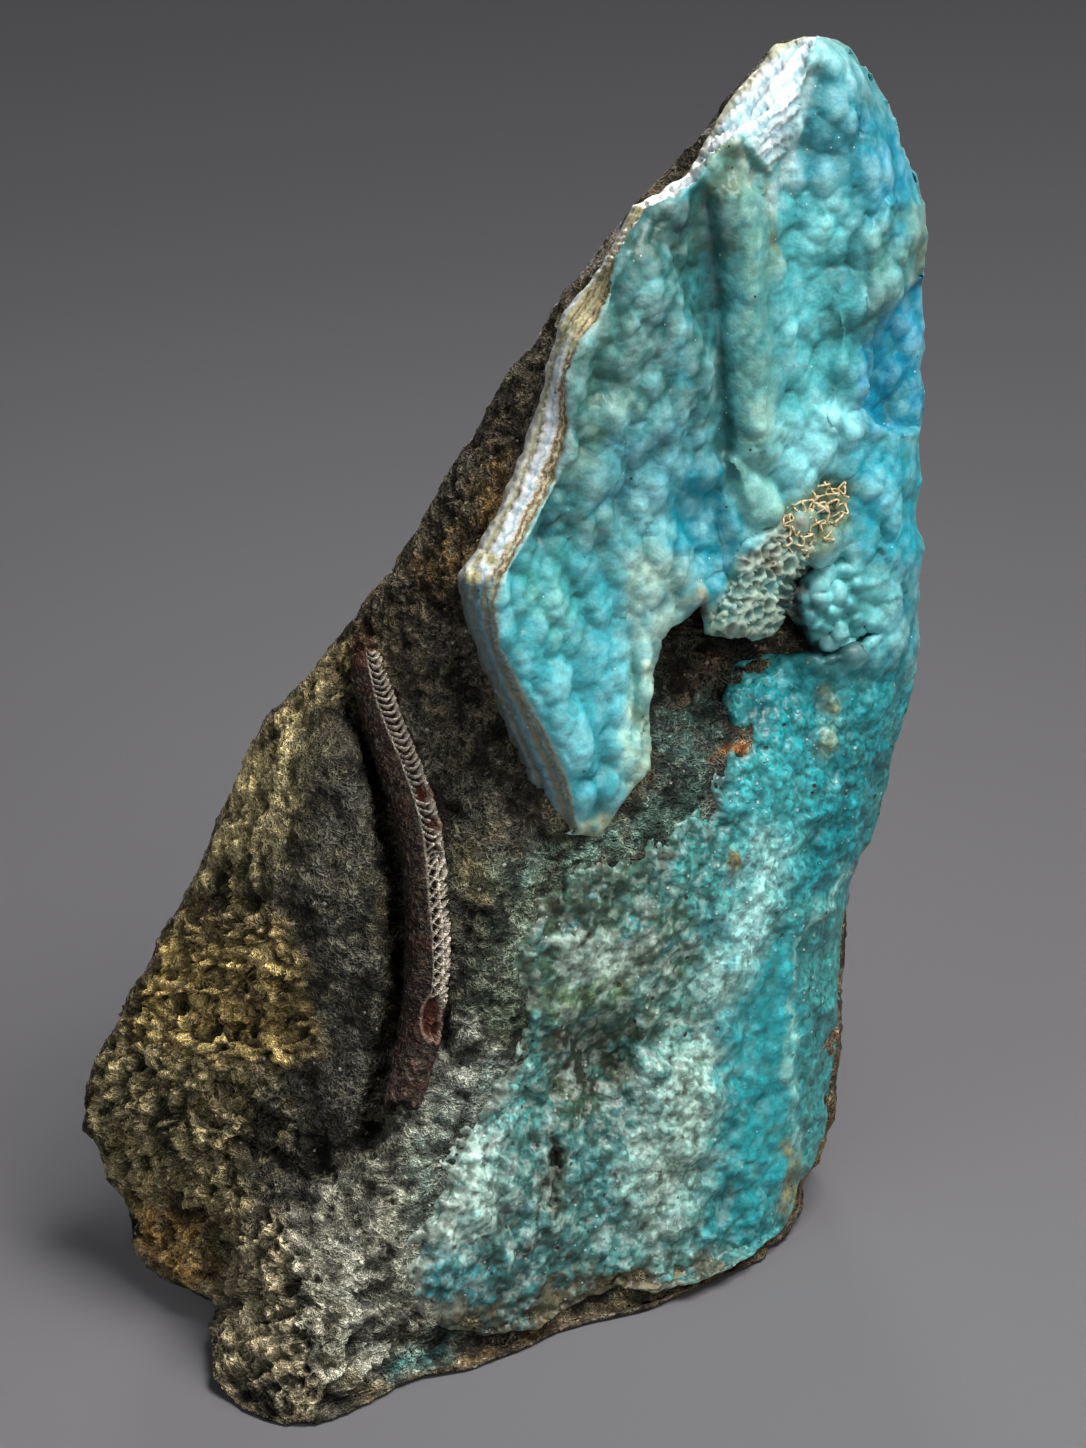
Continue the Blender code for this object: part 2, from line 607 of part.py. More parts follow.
# The tube: (x, y, radius) down its length, and how far its axis stands above the rock
TUBE = [
    (366, 655, 15), (371, 676, 19), (379, 702, 21.5), (390, 735, 22), (402, 770, 22.5), (414, 805, 22.5),
    (424, 845, 23), (429, 900, 23), (429, 950, 22.5), (425, 1000, 22), (418, 1045, 21), (408, 1082, 20),
    (401, 1108, 17),
]
TUBE_RISE = 3.0
TUBE_SIDES = 12
RUNG_PITCH = 13.0  # between the rungs of the lattice on the tube's right side
RUNG_HEIGHT = 3.0
LATTICE_FROM, LATTICE_TO = 690.0, 1060.0
BORE = [(2.0, 0.72), (-10.0, 0.52), (-26.0, 0.42)]  # the hollow lower end: (along, share of radius)


def tube_axis(stone):
    """Centres, radii and rows of the tube, at half a rung's pitch down its length."""
    x, y, radius = np.array(TUBE, float).T
    run = np.r_[0, np.cumsum(np.hypot(np.diff(x), np.diff(y)))]
    at = np.linspace(0, run[-1], 2 * int(run[-1] / RUNG_PITCH) + 1)
    x, y, radius = (smoothed(np.interp(at, run, values), 3) for values in (x, y, radius))
    depth = smoothed(stone.front(x, y), 9) + TUBE_RISE
    return place(x, y, depth), radius, y


def smoothed(values, reach):
    padded = np.pad(values, reach, mode="reflect", reflect_type="odd")
    return np.convolve(padded, np.ones(2 * reach + 1) / (2 * reach + 1), mode="valid")


def tube_rings(centres, radii, sides, relief):
    """Rings round the axis. The first point of each faces the viewer, the next ones turn to the right."""
    along = np.gradient(centres, axis=0)
    along /= np.linalg.norm(along, axis=1, keepdims=True)
    right = np.cross(along, (0.0, 1.0, 0.0))
    right *= np.sign(right[:, :1])
    right /= np.linalg.norm(right, axis=1, keepdims=True)
    front = np.cross(right, along)
    front *= -np.sign(front[:, 1:2])
    turn = np.linspace(0, 2 * math.pi, sides, endpoint=False)
    rings = []
    for i, centre in enumerate(centres):
        reach = (radii[i] + relief(i, turn))[:, None] * PIXEL
        rings.append(centre + reach * (np.cos(turn)[:, None] * front[i] + np.sin(turn)[:, None] * right[i]))
    return rings, along


def make_tube(stone):
    """The oxide tube, with the lattice's rungs on its right and a bore in its lower end."""
    centres, radii, rows = tube_axis(stone)

    def rungs(i, turn):
        in_lattice = LATTICE_FROM < rows[i] < LATTICE_TO
        height = RUNG_HEIGHT * (1.0 if i % 2 else -1.0) * in_lattice
        return height * smooth(np.sin(turn) * 1.6)

    rings, along = tube_rings(centres, radii, TUBE_SIDES, rungs)
    lip, middle = rings[-1], centres[-1]
    for onward, share in BORE:
        rings.append(middle + (lip - middle) * share + along[-1] * onward * PIXEL)
    bm = bmesh.new()
    loop_grid(bm, rings)
    return new_object("oxide_tube", bm)


def make_channel(stone):
    """What is cut from the rock to make room for the tube."""
    centres, radii = (values[::2] for values in tube_axis(stone)[:2])
    rings, along = tube_rings(centres, radii + GAP + RUNG_HEIGHT, TUBE_SIDES, lambda i, turn: 0 * turn)
    rings.insert(0, rings[0] - along[0] * 8.0 * PIXEL)
    rings.append(rings[-1] + along[-1] * 8.0 * PIXEL)
    bm = bmesh.new()
    loop_grid(bm, rings)
    return new_object("tube_channel", bm)


def bed_of(crust):
    """A copy of the crust with its back and its rim moved out by the gap between pieces."""
    copy = crust.copy()
    copy.data = crust.data.copy()
    copy.name = "crust_bed"
    bpy.context.collection.objects.link(copy)
    viewer = Vector((0.0, -math.cos(VIEW_TILT), math.sin(VIEW_TILT)))
    for v in copy.data.vertices:
        behind = smooth((0.6 - v.normal.dot(viewer)) / 0.5)
        v.co += v.normal * float(behind) * GAP * PIXEL
    return copy


def cut_from(obj, cutters, name):
    """The object less its cutters, as one piece."""
    for cutter in cutters:
        cutter.hide_render = True
        cutter.display_type = "WIRE"
        cut = obj.modifiers.new(cutter.name, "BOOLEAN")
        cut.operation = "DIFFERENCE"
        cut.solver = "EXACT"
        cut.object = cutter
    bm = bmesh.new()
    bm.from_object(obj, bpy.context.evaluated_depsgraph_get())
    bpy.data.objects.remove(obj)
    for cutter in cutters:
        bpy.data.objects.remove(cutter)
    keep_largest(bm)
    bmesh.ops.triangulate(bm, faces=bm.faces)
    return new_object(name, bm)


# Material of each piece: (colour, roughness)
LOOKS = {
    "host_rock": ((0.075, 0.068, 0.045), 0.85),
    "hemimorphite_crust": ((0.10, 0.42, 0.43), 0.35),
    "oxide_tube": ((0.07, 0.026, 0.020), 0.6),
}


def give_material(obj):
    colour, roughness = LOOKS[obj.name]
    material = bpy.data.materials.new(obj.name)
    material.use_nodes = True
    surface = material.node_tree.nodes["Principled BSDF"].inputs
    surface["Base Color"].default_value = (*colour, 1.0)
    surface["Roughness"].default_value = roughness
    obj.data.materials.append(material)


def main():
    for obj in list(bpy.data.objects):
        bpy.data.objects.remove(obj)
    stone = Stone()
    crust = make_crust(stone)
    tube = make_tube(stone)
    cutters = [bed_of(crust), make_channel(stone)]
    rock = cut_from(make_rock(stone), cutters, "host_rock")
    for piece in (rock, crust, tube):
        give_material(piece)


main()
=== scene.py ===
import math

import bmesh
import bpy
import numpy as np
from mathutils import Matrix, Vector, noise


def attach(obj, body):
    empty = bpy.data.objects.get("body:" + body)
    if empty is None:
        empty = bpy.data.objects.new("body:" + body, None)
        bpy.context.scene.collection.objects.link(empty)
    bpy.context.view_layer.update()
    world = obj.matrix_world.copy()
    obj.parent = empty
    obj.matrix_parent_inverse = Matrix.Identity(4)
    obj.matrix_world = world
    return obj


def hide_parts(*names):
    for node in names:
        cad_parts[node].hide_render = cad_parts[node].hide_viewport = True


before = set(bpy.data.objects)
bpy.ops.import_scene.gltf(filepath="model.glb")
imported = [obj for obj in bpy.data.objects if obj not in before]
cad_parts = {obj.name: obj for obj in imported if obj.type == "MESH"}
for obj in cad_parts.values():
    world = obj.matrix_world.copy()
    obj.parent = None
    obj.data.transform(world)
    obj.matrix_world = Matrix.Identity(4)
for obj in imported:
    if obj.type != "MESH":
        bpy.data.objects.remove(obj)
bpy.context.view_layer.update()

# The host rock
#
# A broken block of dark, fine-grained rock, with a layered ochre block, a pitted lobe and a foot on
# its left. It is laid out in the photograph: a point is (x, y, depth), its pixel and how far it
# stands towards the viewer, and place() turns that into world pixels of a tenth of a millimetre.

PIXEL = 0.0001
VIEW_CENTRE = (543.0, 724.0)
VIEW_TILT = math.radians(22.0)
VIEW_DISTANCE = 7000.0
ORIGIN = (-38.0, -70.0, -552.0)

LEFT_OUTLINE = [
    (804, 38), (775, 45), (755, 68), (735, 90), (718, 112), (700, 140), (660, 178), (618, 228),
    (585, 270), (560, 295), (535, 342), (510, 370), (495, 400), (480, 430), (455, 465), (425, 515),
    (393, 565), (375, 590), (352, 620), (330, 648), (285, 700), (262, 720), (248, 750), (222, 810),
    (200, 870), (185, 895), (155, 945), (145, 970), (125, 1000), (120, 1020), (95, 1060),
    (88, 1090), (83, 1130), (100, 1150), (105, 1180), (125, 1200), (130, 1235), (135, 1255),
    (150, 1270), (180, 1285), (205, 1296), (217, 1308), (205, 1330), (208, 1350), (212, 1375),
    (228, 1395), (245, 1410), (270, 1420), (296, 1425),
]
RIGHT_OUTLINE = [
    (818, 37), (835, 42), (848, 50), (865, 68), (880, 92), (895, 120), (905, 155), (915, 180),
    (924, 205), (928, 235), (922, 270), (921, 300), (924, 330), (919, 370), (924, 405), (918, 440),
    (920, 480), (915, 520), (925, 550), (918, 580), (918, 650), (912, 690), (898, 735), (888, 780),
    (878, 820), (862, 860), (850, 890), (846, 930), (843, 980), (842, 1040), (835, 1080),
    (834, 1120), (820, 1160), (802, 1185), (803, 1205), (785, 1235), (760, 1258), (735, 1270),
    (700, 1285), (650, 1308), (600, 1318), (560, 1330), (520, 1350), (470, 1368), (430, 1372),
    (400, 1385), (350, 1412), (310, 1425),
]
STONE_OUTLINE = RIGHT_OUTLINE + LEFT_OUTLINE[::-1]
ROCK_TUCK = 26.0  # how far the rock's right side hides behind the crust

# Depths of the front, of the line where it turns into the back, and of the broken faces behind
ROCK_FRONT = [
    (812, 60, 215), (900, 200, 90), (700, 200, 250), (600, 330, 280), (900, 450, 0),
    (700, 450, 160), (560, 450, 270), (480, 590, 275), (600, 650, 165), (700, 620, 62),
    (790, 600, 10), (905, 640, -8), (740, 700, 58), (690, 700, 88), (640, 800, 132), (800, 750, 30),
    (870, 800, -45), (700, 900, 60), (560, 900, 168), (830, 950, -75), (700, 1100, -5),
    (580, 1075, 62), (520, 1130, 120), (800, 1150, -118), (700, 1250, -75), (600, 1285, -5),
    (500, 1325, 66), (450, 1200, 152), (400, 1350, 140), (330, 1385, 216), (260, 1375, 190),
    (228, 1340, 140), (300, 1260, 190), (380, 1150, 172), (290, 1175, 105), (350, 1220, 172),
    (150, 1120, 30), (105, 1120, -25), (200, 1150, 70), (180, 1240, 25), (230, 1080, 90),
    (170, 990, 55), (250, 980, 120), (300, 1030, 132), (210, 930, 70), (250, 860, 110),
    (300, 800, 160), (340, 760, 178), (268, 775, 128), (350, 900, 196), (360, 1000, 172),
    (350, 1080, 150), (400, 750, 168), (420, 850, 184), (430, 950, 182), (415, 1050, 162),
    (450, 700, 195), (480, 800, 206), (490, 900, 216), (480, 1000, 190), (450, 1060, 172),
    (420, 620, 212), (380, 650, 165), (340, 680, 130), (450, 560, 238), (500, 450, 240),
    (560, 350, 252), (640, 230, 258),
]
SIDES = [
    (812, 38, 170), (700, 140, 190), (600, 250, 205), (535, 342, 200), (455, 465, 185),
    (393, 565, 150), (330, 648, 95), (262, 720, 45), (222, 810, 0), (185, 895, -35),
    (125, 1000, -60), (85, 1110, -85), (130, 1240, -70), (200, 1290, -20), (210, 1350, 110),
    (245, 1405, 175), (300, 1424, 212), (880, 92, 130), (924, 205, 85), (922, 300, 55),
    (920, 450, 10), (920, 550, -20), (915, 650, -55), (888, 780, -95), (850, 890, -140),
    (843, 1000, -175), (834, 1120, -200), (803, 1200, -200), (740, 1268, -96), (650, 1308, -15),
    (560, 1330, 26), (470, 1368, 104), (400, 1385, 138),
]
BACK_FACES = [
    ((560, 760, -350), (-0.10, -0.50)), ((640, 300, -95), (0.15, -0.62)),
    ((300, 900, -200), (-0.95, -0.42)), ((480, 430, 20), (-1.05, -0.30)),
    ((800, 760, -330), (0.80, -0.55)), ((380, 1150, -330), (-0.72, -0.10)),
    ((700, 1150, -470), (0.62, -0.30)),
]
SIDE_ROUNDING = [(80, 105), (480, 85), (640, 55), (928, 42)]

# Grooves and ledges (line, half width, height), and pits (x, y, radius, height)
ROCK_LINES = [
    ([(350, 672), (365, 735), (384, 800), (398, 870), (402, 940), (400, 1010), (388, 1075),
      (374, 1135)], 14, -42),
    ([(176, 912), (200, 907), (232, 904), (262, 902)], 7, -24),
    ([(170, 928), (215, 921), (262, 920)], 12, 10),
    ([(140, 1002), (210, 1008), (300, 1012)], 9, -22),
    ([(150, 975), (215, 978), (290, 984)], 8, -16),
    ([(208, 1024), (250, 1030), (290, 1032)], 11, -28),
    ([(552, 1140), (553, 1168), (549, 1205)], 7, -18),
    ([(552, 862), (556, 890), (562, 925)], 14, -16),
    ([(440, 1020), (448, 1052), (462, 1062)], 12, -20),
    ([(520, 1085), (535, 1120), (528, 1145)], 12, -14),
    ([(372, 1135), (345, 1165), (300, 1178), (262, 1150)], 15, -18),
    ([(300, 1215), (297, 1262), (303, 1300), (318, 1345)], 5, 7),
    ([(385, 1338), (430, 1342), (500, 1340)], 6, -14),
    ([(215, 1215), (222, 1262), (216, 1300)], 14, -22),
]
ROCK_PITS = [
    (175, 957, 10, -26), (238, 1093, 16, -32), (205, 1108, 13, -22), (258, 1122, 16, -34),
    (232, 1160, 15, -22), (290, 1100, 18, -26), (150, 1180, 16, -22), (190, 1215, 17, -26),
    (242, 1345, 15, -24), (262, 1300, 14, -16), (363, 1300, 8, -10), (500, 1112, 10, -12),
    (300, 722, 14, -16), (545, 960, 12, -9), (470, 1095, 10, -12), (150, 1245, 16, -18),
    (690, 705, 34, -14), (600, 1060, 30, -12),
]
ROCK_GRAIN = [(0.0065, 11.0), (0.018, 5.0)]  # frequency and height, as in the solid
CRAG_SIZE, CHUNK_SIZE, BED_HEIGHT, HOLE_SIZE, PIT_SIZE = 44.0, 24.0, 15.0, 19.0, 9.0

# The crust's outline: the right side, then the thin sheet, the bay and the thick plate
SHEET_OUTLINE = [
    (862, 858), (849, 884), (842, 930), (839, 980), (838, 1040), (831, 1080), (829, 1120),
    (815, 1158), (797, 1183), (797, 1205), (779, 1233), (754, 1253), (728, 1267), (694, 1284),
    (655, 1292), (620, 1286), (590, 1296), (565, 1308), (540, 1329), (500, 1334), (450, 1330),
    (425, 1318), (400, 1290), (402, 1240), (425, 1200), (440, 1150), (475, 1100), (508, 1060),
    (520, 1010), (505, 960), (530, 905), (565, 870), (620, 846), (665, 828), (700, 800), (712, 768),
    (738, 738), (722, 700), (736, 664), (772, 654), (812, 652),
]
BAY_OUTLINE = [
    (800, 628), (786, 612), (775, 636), (752, 640), (706, 632), (700, 606), (684, 618), (662, 640),
    (655, 668), (650, 700), (650, 770), (625, 800), (600, 838), (552, 834),
]
PLATE_OUTLINE = [
    (532, 790), (510, 735), (488, 680), (468, 625), (458, 574), (478, 548), (500, 505), (522, 450),
    (540, 400), (552, 350), (562, 312), (592, 280), (612, 248), (632, 205), (656, 196), (690, 172),
    (706, 142), (722, 112), (738, 90), (757, 68), (776, 46), (804, 38),
]
RIGHT_OF_CRUST = [point for point in RIGHT_OUTLINE if point[1] < SHEET_OUTLINE[0][1]]
CRUST_OUTLINE = RIGHT_OF_CRUST + SHEET_OUTLINE + BAY_OUTLINE + PLATE_OUTLINE
SHEET_AREA = SHEET_OUTLINE + [(835, 650)] + [point for point in RIGHT_OF_CRUST if point[1] > 640]
HINGE = [(838, 652), (925, 636)]  # where the thick plate runs down into the thin sheet
HINGE_WIDTH = 70.0
FACE_POINT = (293.0, 1420.0, 200.0)  # the plane that the crust grew on, and its slopes
FACE_SLOPE = (-0.80, -0.3725)
PLATE_THICKNESS = 84.0
PLATE_BED = 30.0  # how far the rock reaches up into the plate
SHEET_THICKNESS = 34.0
FLOOR_CLEARANCE = 34.0  # depths in front of the line where the stone would touch the floor
SIDE_CLEARANCE, BACK_CLEARANCE = 4.0, -12.0
BEHIND_CRUST = 6.0
LOW_RIM_DROP = 18.0
COVER_SHIFTS = (900.0, 1300.0, 1700.0)


def place(x, y, depth):
    """World coordinates, in pixels of a tenth of a millimetre."""
    spread = (VIEW_DISTANCE - depth) / VIEW_DISTANCE
    right = (x - VIEW_CENTRE[0]) * spread
    up = (VIEW_CENTRE[1] - y) * spread
    back = up * math.sin(VIEW_TILT) - depth * math.cos(VIEW_TILT)
    high = up * math.cos(VIEW_TILT) + depth * math.sin(VIEW_TILT)
    stacked = (right - ORIGIN[0], back - ORIGIN[1], high - ORIGIN[2])
    return np.stack(np.broadcast_arrays(*stacked), -1)


def floor_depth(y):
    up = (VIEW_CENTRE[1] - y) * math.cos(VIEW_TILT)
    return (ORIGIN[2] - up) / (math.sin(VIEW_TILT) - up / VIEW_DISTANCE)


def smooth(t):
    t = np.clip(t, 0.0, 1.0)
    return t * t * (3.0 - 2.0 * t)


def round_over(t):
    """A quarter circle from 0 to 1."""
    return np.sqrt(1.0 - (1.0 - np.clip(t, 0.0, 1.0)) ** 2)


def keyed(keys, t):
    at, values = zip(*keys)
    return np.interp(t, at, values)


def plate_kernel(r):
    return r * r * np.log(np.maximum(r, 1e-6))


def bent_plate(posts, stiffness):
    """A smooth surface through a few depth posts, as a thin plate bends."""
    posts = np.array(posts, float)
    at, count = posts[:, :2], len(posts)
    flat = np.c_[np.ones(count), at]
    bend = plate_kernel(np.linalg.norm(at[:, None] - at[None], axis=2))
    bend += np.eye(count) * stiffness * 100.0
    system = np.block([[bend, flat], [flat.T, np.zeros((3, 3))]])
    weights = np.linalg.solve(system, np.r_[posts[:, 2], np.zeros(3)])

    def surface(x, y):
        depth = weights[-3] + weights[-2] * x + weights[-1] * y
        for (px, py), weight in zip(at, weights):
            depth = depth + weight * plate_kernel(np.hypot(x - px, y - py))
        return depth

    return surface


def closed(line):
    return line + line[:1]


def distance_to(line, x, y):
    """Distance from each point to an open line of points."""
    nearest = np.full(np.shape(x), 1e9)
    for (ax, ay), (bx, by) in zip(line, line[1:]):
        dx, dy = bx - ax, by - ay
        along = np.clip(((x - ax) * dx + (y - ay) * dy) / (dx * dx + dy * dy), 0.0, 1.0)
        nearest = np.minimum(nearest, (x - ax - along * dx) ** 2 + (y - ay - along * dy) ** 2)
    return np.sqrt(nearest)


def inside(polygon, x, y):
    found = np.zeros(np.shape(x), bool)
    for (ax, ay), (bx, by) in zip(polygon, closed(polygon)[1:]):
        if ay != by:
            found ^= ((ay > y) != (by > y)) & (x < (bx - ax) * (y - ay) / (by - ay) + ax)
    return found


def depth_inside(polygon, x, y):
    """Distance to the polygon's edge, positive inside it."""
    edge = distance_to(closed(polygon), x, y)
    return np.where(inside(polygon, x, y), edge, -edge)


def from_outline(x, y):
    """Distance from the stone's outline, on either side of it."""
    return distance_to(closed(STONE_OUTLINE), x, y)


def fractal(points, scale, octaves, rough=1.0):
    """Soft noise at world points, about -1 to 1. Scale is the size of its largest forms."""
    at = (points / scale).reshape(-1, 3).tolist()
    made = [noise.fractal(p, rough, 2.0, octaves, noise_basis="PERLIN_ORIGINAL") for p in at]
    return np.array(made).reshape(points.shape[:-1])


def hashed(cells, seed):
    """Three random numbers for each whole-number cell."""
    stirred = cells.astype(np.int64) * np.array([73856093, 19349663, 83492791]) + seed * 2654435761
    stirred = np.bitwise_xor.reduce(stirred, axis=-1)[..., None]
    stirred = stirred * np.array([1, 40503, 69069]) + 12345
    stirred = (stirred ^ (stirred >> 13)) * 1274126177
    stirred = (stirred ^ (stirred >> 16)) & 0xFFFFFF
    return stirred / float(0x1000000)


def cells(points, size, seed):
    """Distances to the two nearest random cell centres, in cells, and the nearest's own number."""
    at = points / size
    base = np.floor(at)
    first = np.full(at.shape[:-1], 9.0)
    second, own = first.copy(), first.copy()
    for step in np.ndindex(3, 3, 3):
        cell = base + np.array(step) - 1
        chance = hashed(cell, seed)
        gap = np.linalg.norm(cell + chance - at, axis=-1)
        nearer = gap < first
        second = np.where(nearer, first, np.minimum(second, gap))
        own = np.where(nearer, chance[..., 0], own)
        first = np.where(nearer, gap, first)
    return first, second, own


rock_front_plate = bent_plate(ROCK_FRONT, 6.0)
side_plate = bent_plate(SIDES, 0.5)


def face_depth(x, y):
    left, top, depth = FACE_POINT
    return depth + FACE_SLOPE[0] * (x - left) + FACE_SLOPE[1] * (y - top)


def plate_share(x, y):
    """1 on the crust's thick plate, 0 on its thin sheet."""
    past_hinge = smooth(distance_to(HINGE, x, y) / HINGE_WIDTH)
    return 1.0 - past_hinge * (depth_inside(SHEET_AREA, x, y) > -3.0)


def tucked(x, y):
    return x - ROCK_TUCK * float(smooth((900.0 - y) / 100.0)), y


TUCKED_OUTLINE = [tucked(*point) for point in RIGHT_OUTLINE] + LEFT_OUTLINE[::-1]


def side_depth(x, y):
    return np.maximum(side_plate(x, y), floor_depth(y) + SIDE_CLEARANCE)


def turned(full, x, y, outline):
    """A surface that turns over into the side at the outline."""
    reach = round_over(distance_to(closed(outline), x, y) / keyed(SIDE_ROUNDING, x))
    side = side_depth(x, y)
    return side + reach * (full - side)


def rock_relief(x, y):
    rise = np.zeros(np.shape(x))
    for line, width, height in ROCK_LINES:
        rise = rise + height * np.exp(-((distance_to(line, x, y) / width) ** 2))
    for px, py, radius, height in ROCK_PITS:
        rise = rise + height * np.exp(-(((x - px) ** 2 + (y - py) ** 2) / radius**2))
    return rise


def rock_visible(x, y):
    """The rock with the thin sheet on it, as it shows."""
    return turned(rock_front_plate(x, y) + rock_relief(x, y), x, y, STONE_OUTLINE)


def crust_bed(x, y):
    """The crust's back."""
    share = plate_share(x, y)
    plate = face_depth(x, y) - PLATE_THICKNESS
    sheet = rock_visible(x, y) - SHEET_THICKNESS
    return np.maximum(share * plate + (1.0 - share) * sheet, floor_depth(y) + FLOOR_CLEARANCE)


def rock_front(x, y):
    """The rock's own front. It runs on under the crust's rim, then drops behind the crust."""
    full = rock_front_plate(x, y) + rock_relief(x, y)
    within = depth_inside(CRUST_OUTLINE, x, y)
    share = plate_share(x, y)
    filled = np.maximum(full, face_depth(x, y) - PLATE_THICKNESS + PLATE_BED)
    off_bay = smooth((distance_to(BAY_OUTLINE, x, y) - 30.0) / 50.0)
    full = full + (filled - full) * smooth((within + 6.0) / 14.0) * share * off_bay
    full = turned(full, x, y, TUCKED_OUTLINE)
    low_rim = LOW_RIM_DROP * smooth((within + 5.0) / 8.0) * smooth((x - 700.0) / 40.0)
    full = full - low_rim * smooth((y - 840.0) / 20.0)
    buried = smooth((within - 20.0) / 10.0)
    return full + (np.minimum(full, crust_bed(x, y) - BEHIND_CRUST) - full) * buried


def rock_back(x, y):
    planes = [depth + a * (x - px) + b * (y - py) for (px, py, depth), (a, b) in BACK_FACES]
    back = np.minimum(np.max(planes, axis=0), side_depth(x, y) - 6.0)
    return np.maximum(turned(back, x, y, TUCKED_OUTLINE), floor_depth(y) + BACK_CLEARANCE)


# Where the rock shows on the front: the row, and the last column that does
ROCK_SHOWS_TO = [
    (38, 796), (205, 632), (312, 566), (400, 548), (500, 505), (575, 480), (640, 700), (660, 735),
    (800, 725), (850, 640), (900, 570), (960, 520), (1010, 530), (1100, 490), (1200, 440),
    (1290, 420), (1330, 500), (1345, 440), (1400, 380), (1425, 310),
]
ROCK_ROW_STEP = 2.9
ROCK_SHOWN, ROCK_HIDDEN, ROCK_BEHIND = 116, 26, 56  # columns on each stretch of a ring


def spread_out(count, ease):
    """0 to 1, closer together near 0 the larger ease is."""
    t = np.linspace(0.0, 1.0, count, endpoint=False)
    return t + ease * (1.0 - np.cos(t * math.pi / 2) - t)


def outward(points):
    """Unit normals of a grid of points whose columns close into rings."""
    across = np.roll(points, -1, axis=1) - np.roll(points, 1, axis=1)
    down = np.gradient(points, axis=0)
    normal = np.cross(across, down)
    normal /= np.linalg.norm(normal, axis=-1, keepdims=True) + 1e-9
    away = points - points.mean(axis=1, keepdims=True)
    return normal * np.sign((normal * away).sum())


def rock_rings():
    """Rings of the rock's surface, with the pixel of each point, and which are on the front."""
    left_x, left_y = zip(*LEFT_OUTLINE)
    right_x, right_y = zip(*[tucked(*point) for point in RIGHT_OUTLINE])
    y = np.arange(LEFT_OUTLINE[0][1] + 2, LEFT_OUTLINE[-1][1] - 1, ROCK_ROW_STEP)[:, None]
    low, high = np.interp(y, left_y, left_x), np.interp(y, right_y, right_x)
    last = np.minimum(keyed(ROCK_SHOWS_TO, y), high - 4.0)
    shown = low + (last - low) * spread_out(ROCK_SHOWN, 0.75)
    hidden = last + (high - last) * (1.0 - spread_out(ROCK_HIDDEN + 1, 0.8)[:0:-1])
    half_turn = np.linspace(0, math.pi, ROCK_BEHIND + 1)[:-1]
    behind = high - (high - low) * (0.5 - 0.5 * np.cos(half_turn))
    x = np.concatenate([shown, hidden, behind], axis=1)
    y = np.broadcast_to(y, x.shape).copy()
    front = np.zeros(x.shape, bool)
    front[:, : ROCK_SHOWN + ROCK_HIDDEN] = True
    depth = np.where(front, rock_front(x, y), rock_back(x, y))
    return x, y, front, place(x, y, depth)


rx, ry, r_front, rock_points = rock_rings()
rock_normals = outward(rock_points)

OCHRE_BLOCK = [
    (176, 912), (262, 905), (300, 960), (318, 1058), (250, 1066), (160, 1052), (112, 1032),
    (140, 975),
]
PITTED_LOBE = [
    (112, 1030), (200, 1060), (290, 1080), (300, 1130), (262, 1180), (232, 1240), (214, 1300),
    (140, 1280), (90, 1150), (80, 1090),
]
FOOT = [
    (208, 1300), (250, 1240), (300, 1215), (318, 1345), (400, 1380), (300, 1430), (210, 1400),
    (200, 1330),
]
SMOOTH_FACE = [
    (300, 730), (352, 700), (392, 860), (396, 1010), (372, 1130), (310, 1120), (280, 1000),
    (262, 900), (268, 800),
]


def area(polygon, soft, x, y):
    """1 well inside the polygon, 0 well outside it."""
    return smooth(0.5 + depth_inside(polygon, x, y) / (2.0 * soft))


on_front = r_front.astype(float)
ochre = area(OCHRE_BLOCK, 14.0, rx, ry) * on_front
lobe = area(PITTED_LOBE, 16.0, rx, ry) * on_front
foot = area(FOOT, 14.0, rx, ry) * on_front
quiet = area(SMOOTH_FACE, 20.0, rx, ry) * on_front
buried = smooth((depth_inside(CRUST_OUTLINE, rx, ry) + 4.0) / 12.0) * on_front


def warped(points, reach, scale):
    """Points moved about by soft noise, so that what follows isn't regular."""
    moves = [fractal(points + shift, scale, 2) for shift in (0.0, 77.0, 154.0)]
    return points + reach * np.stack(moves, -1)


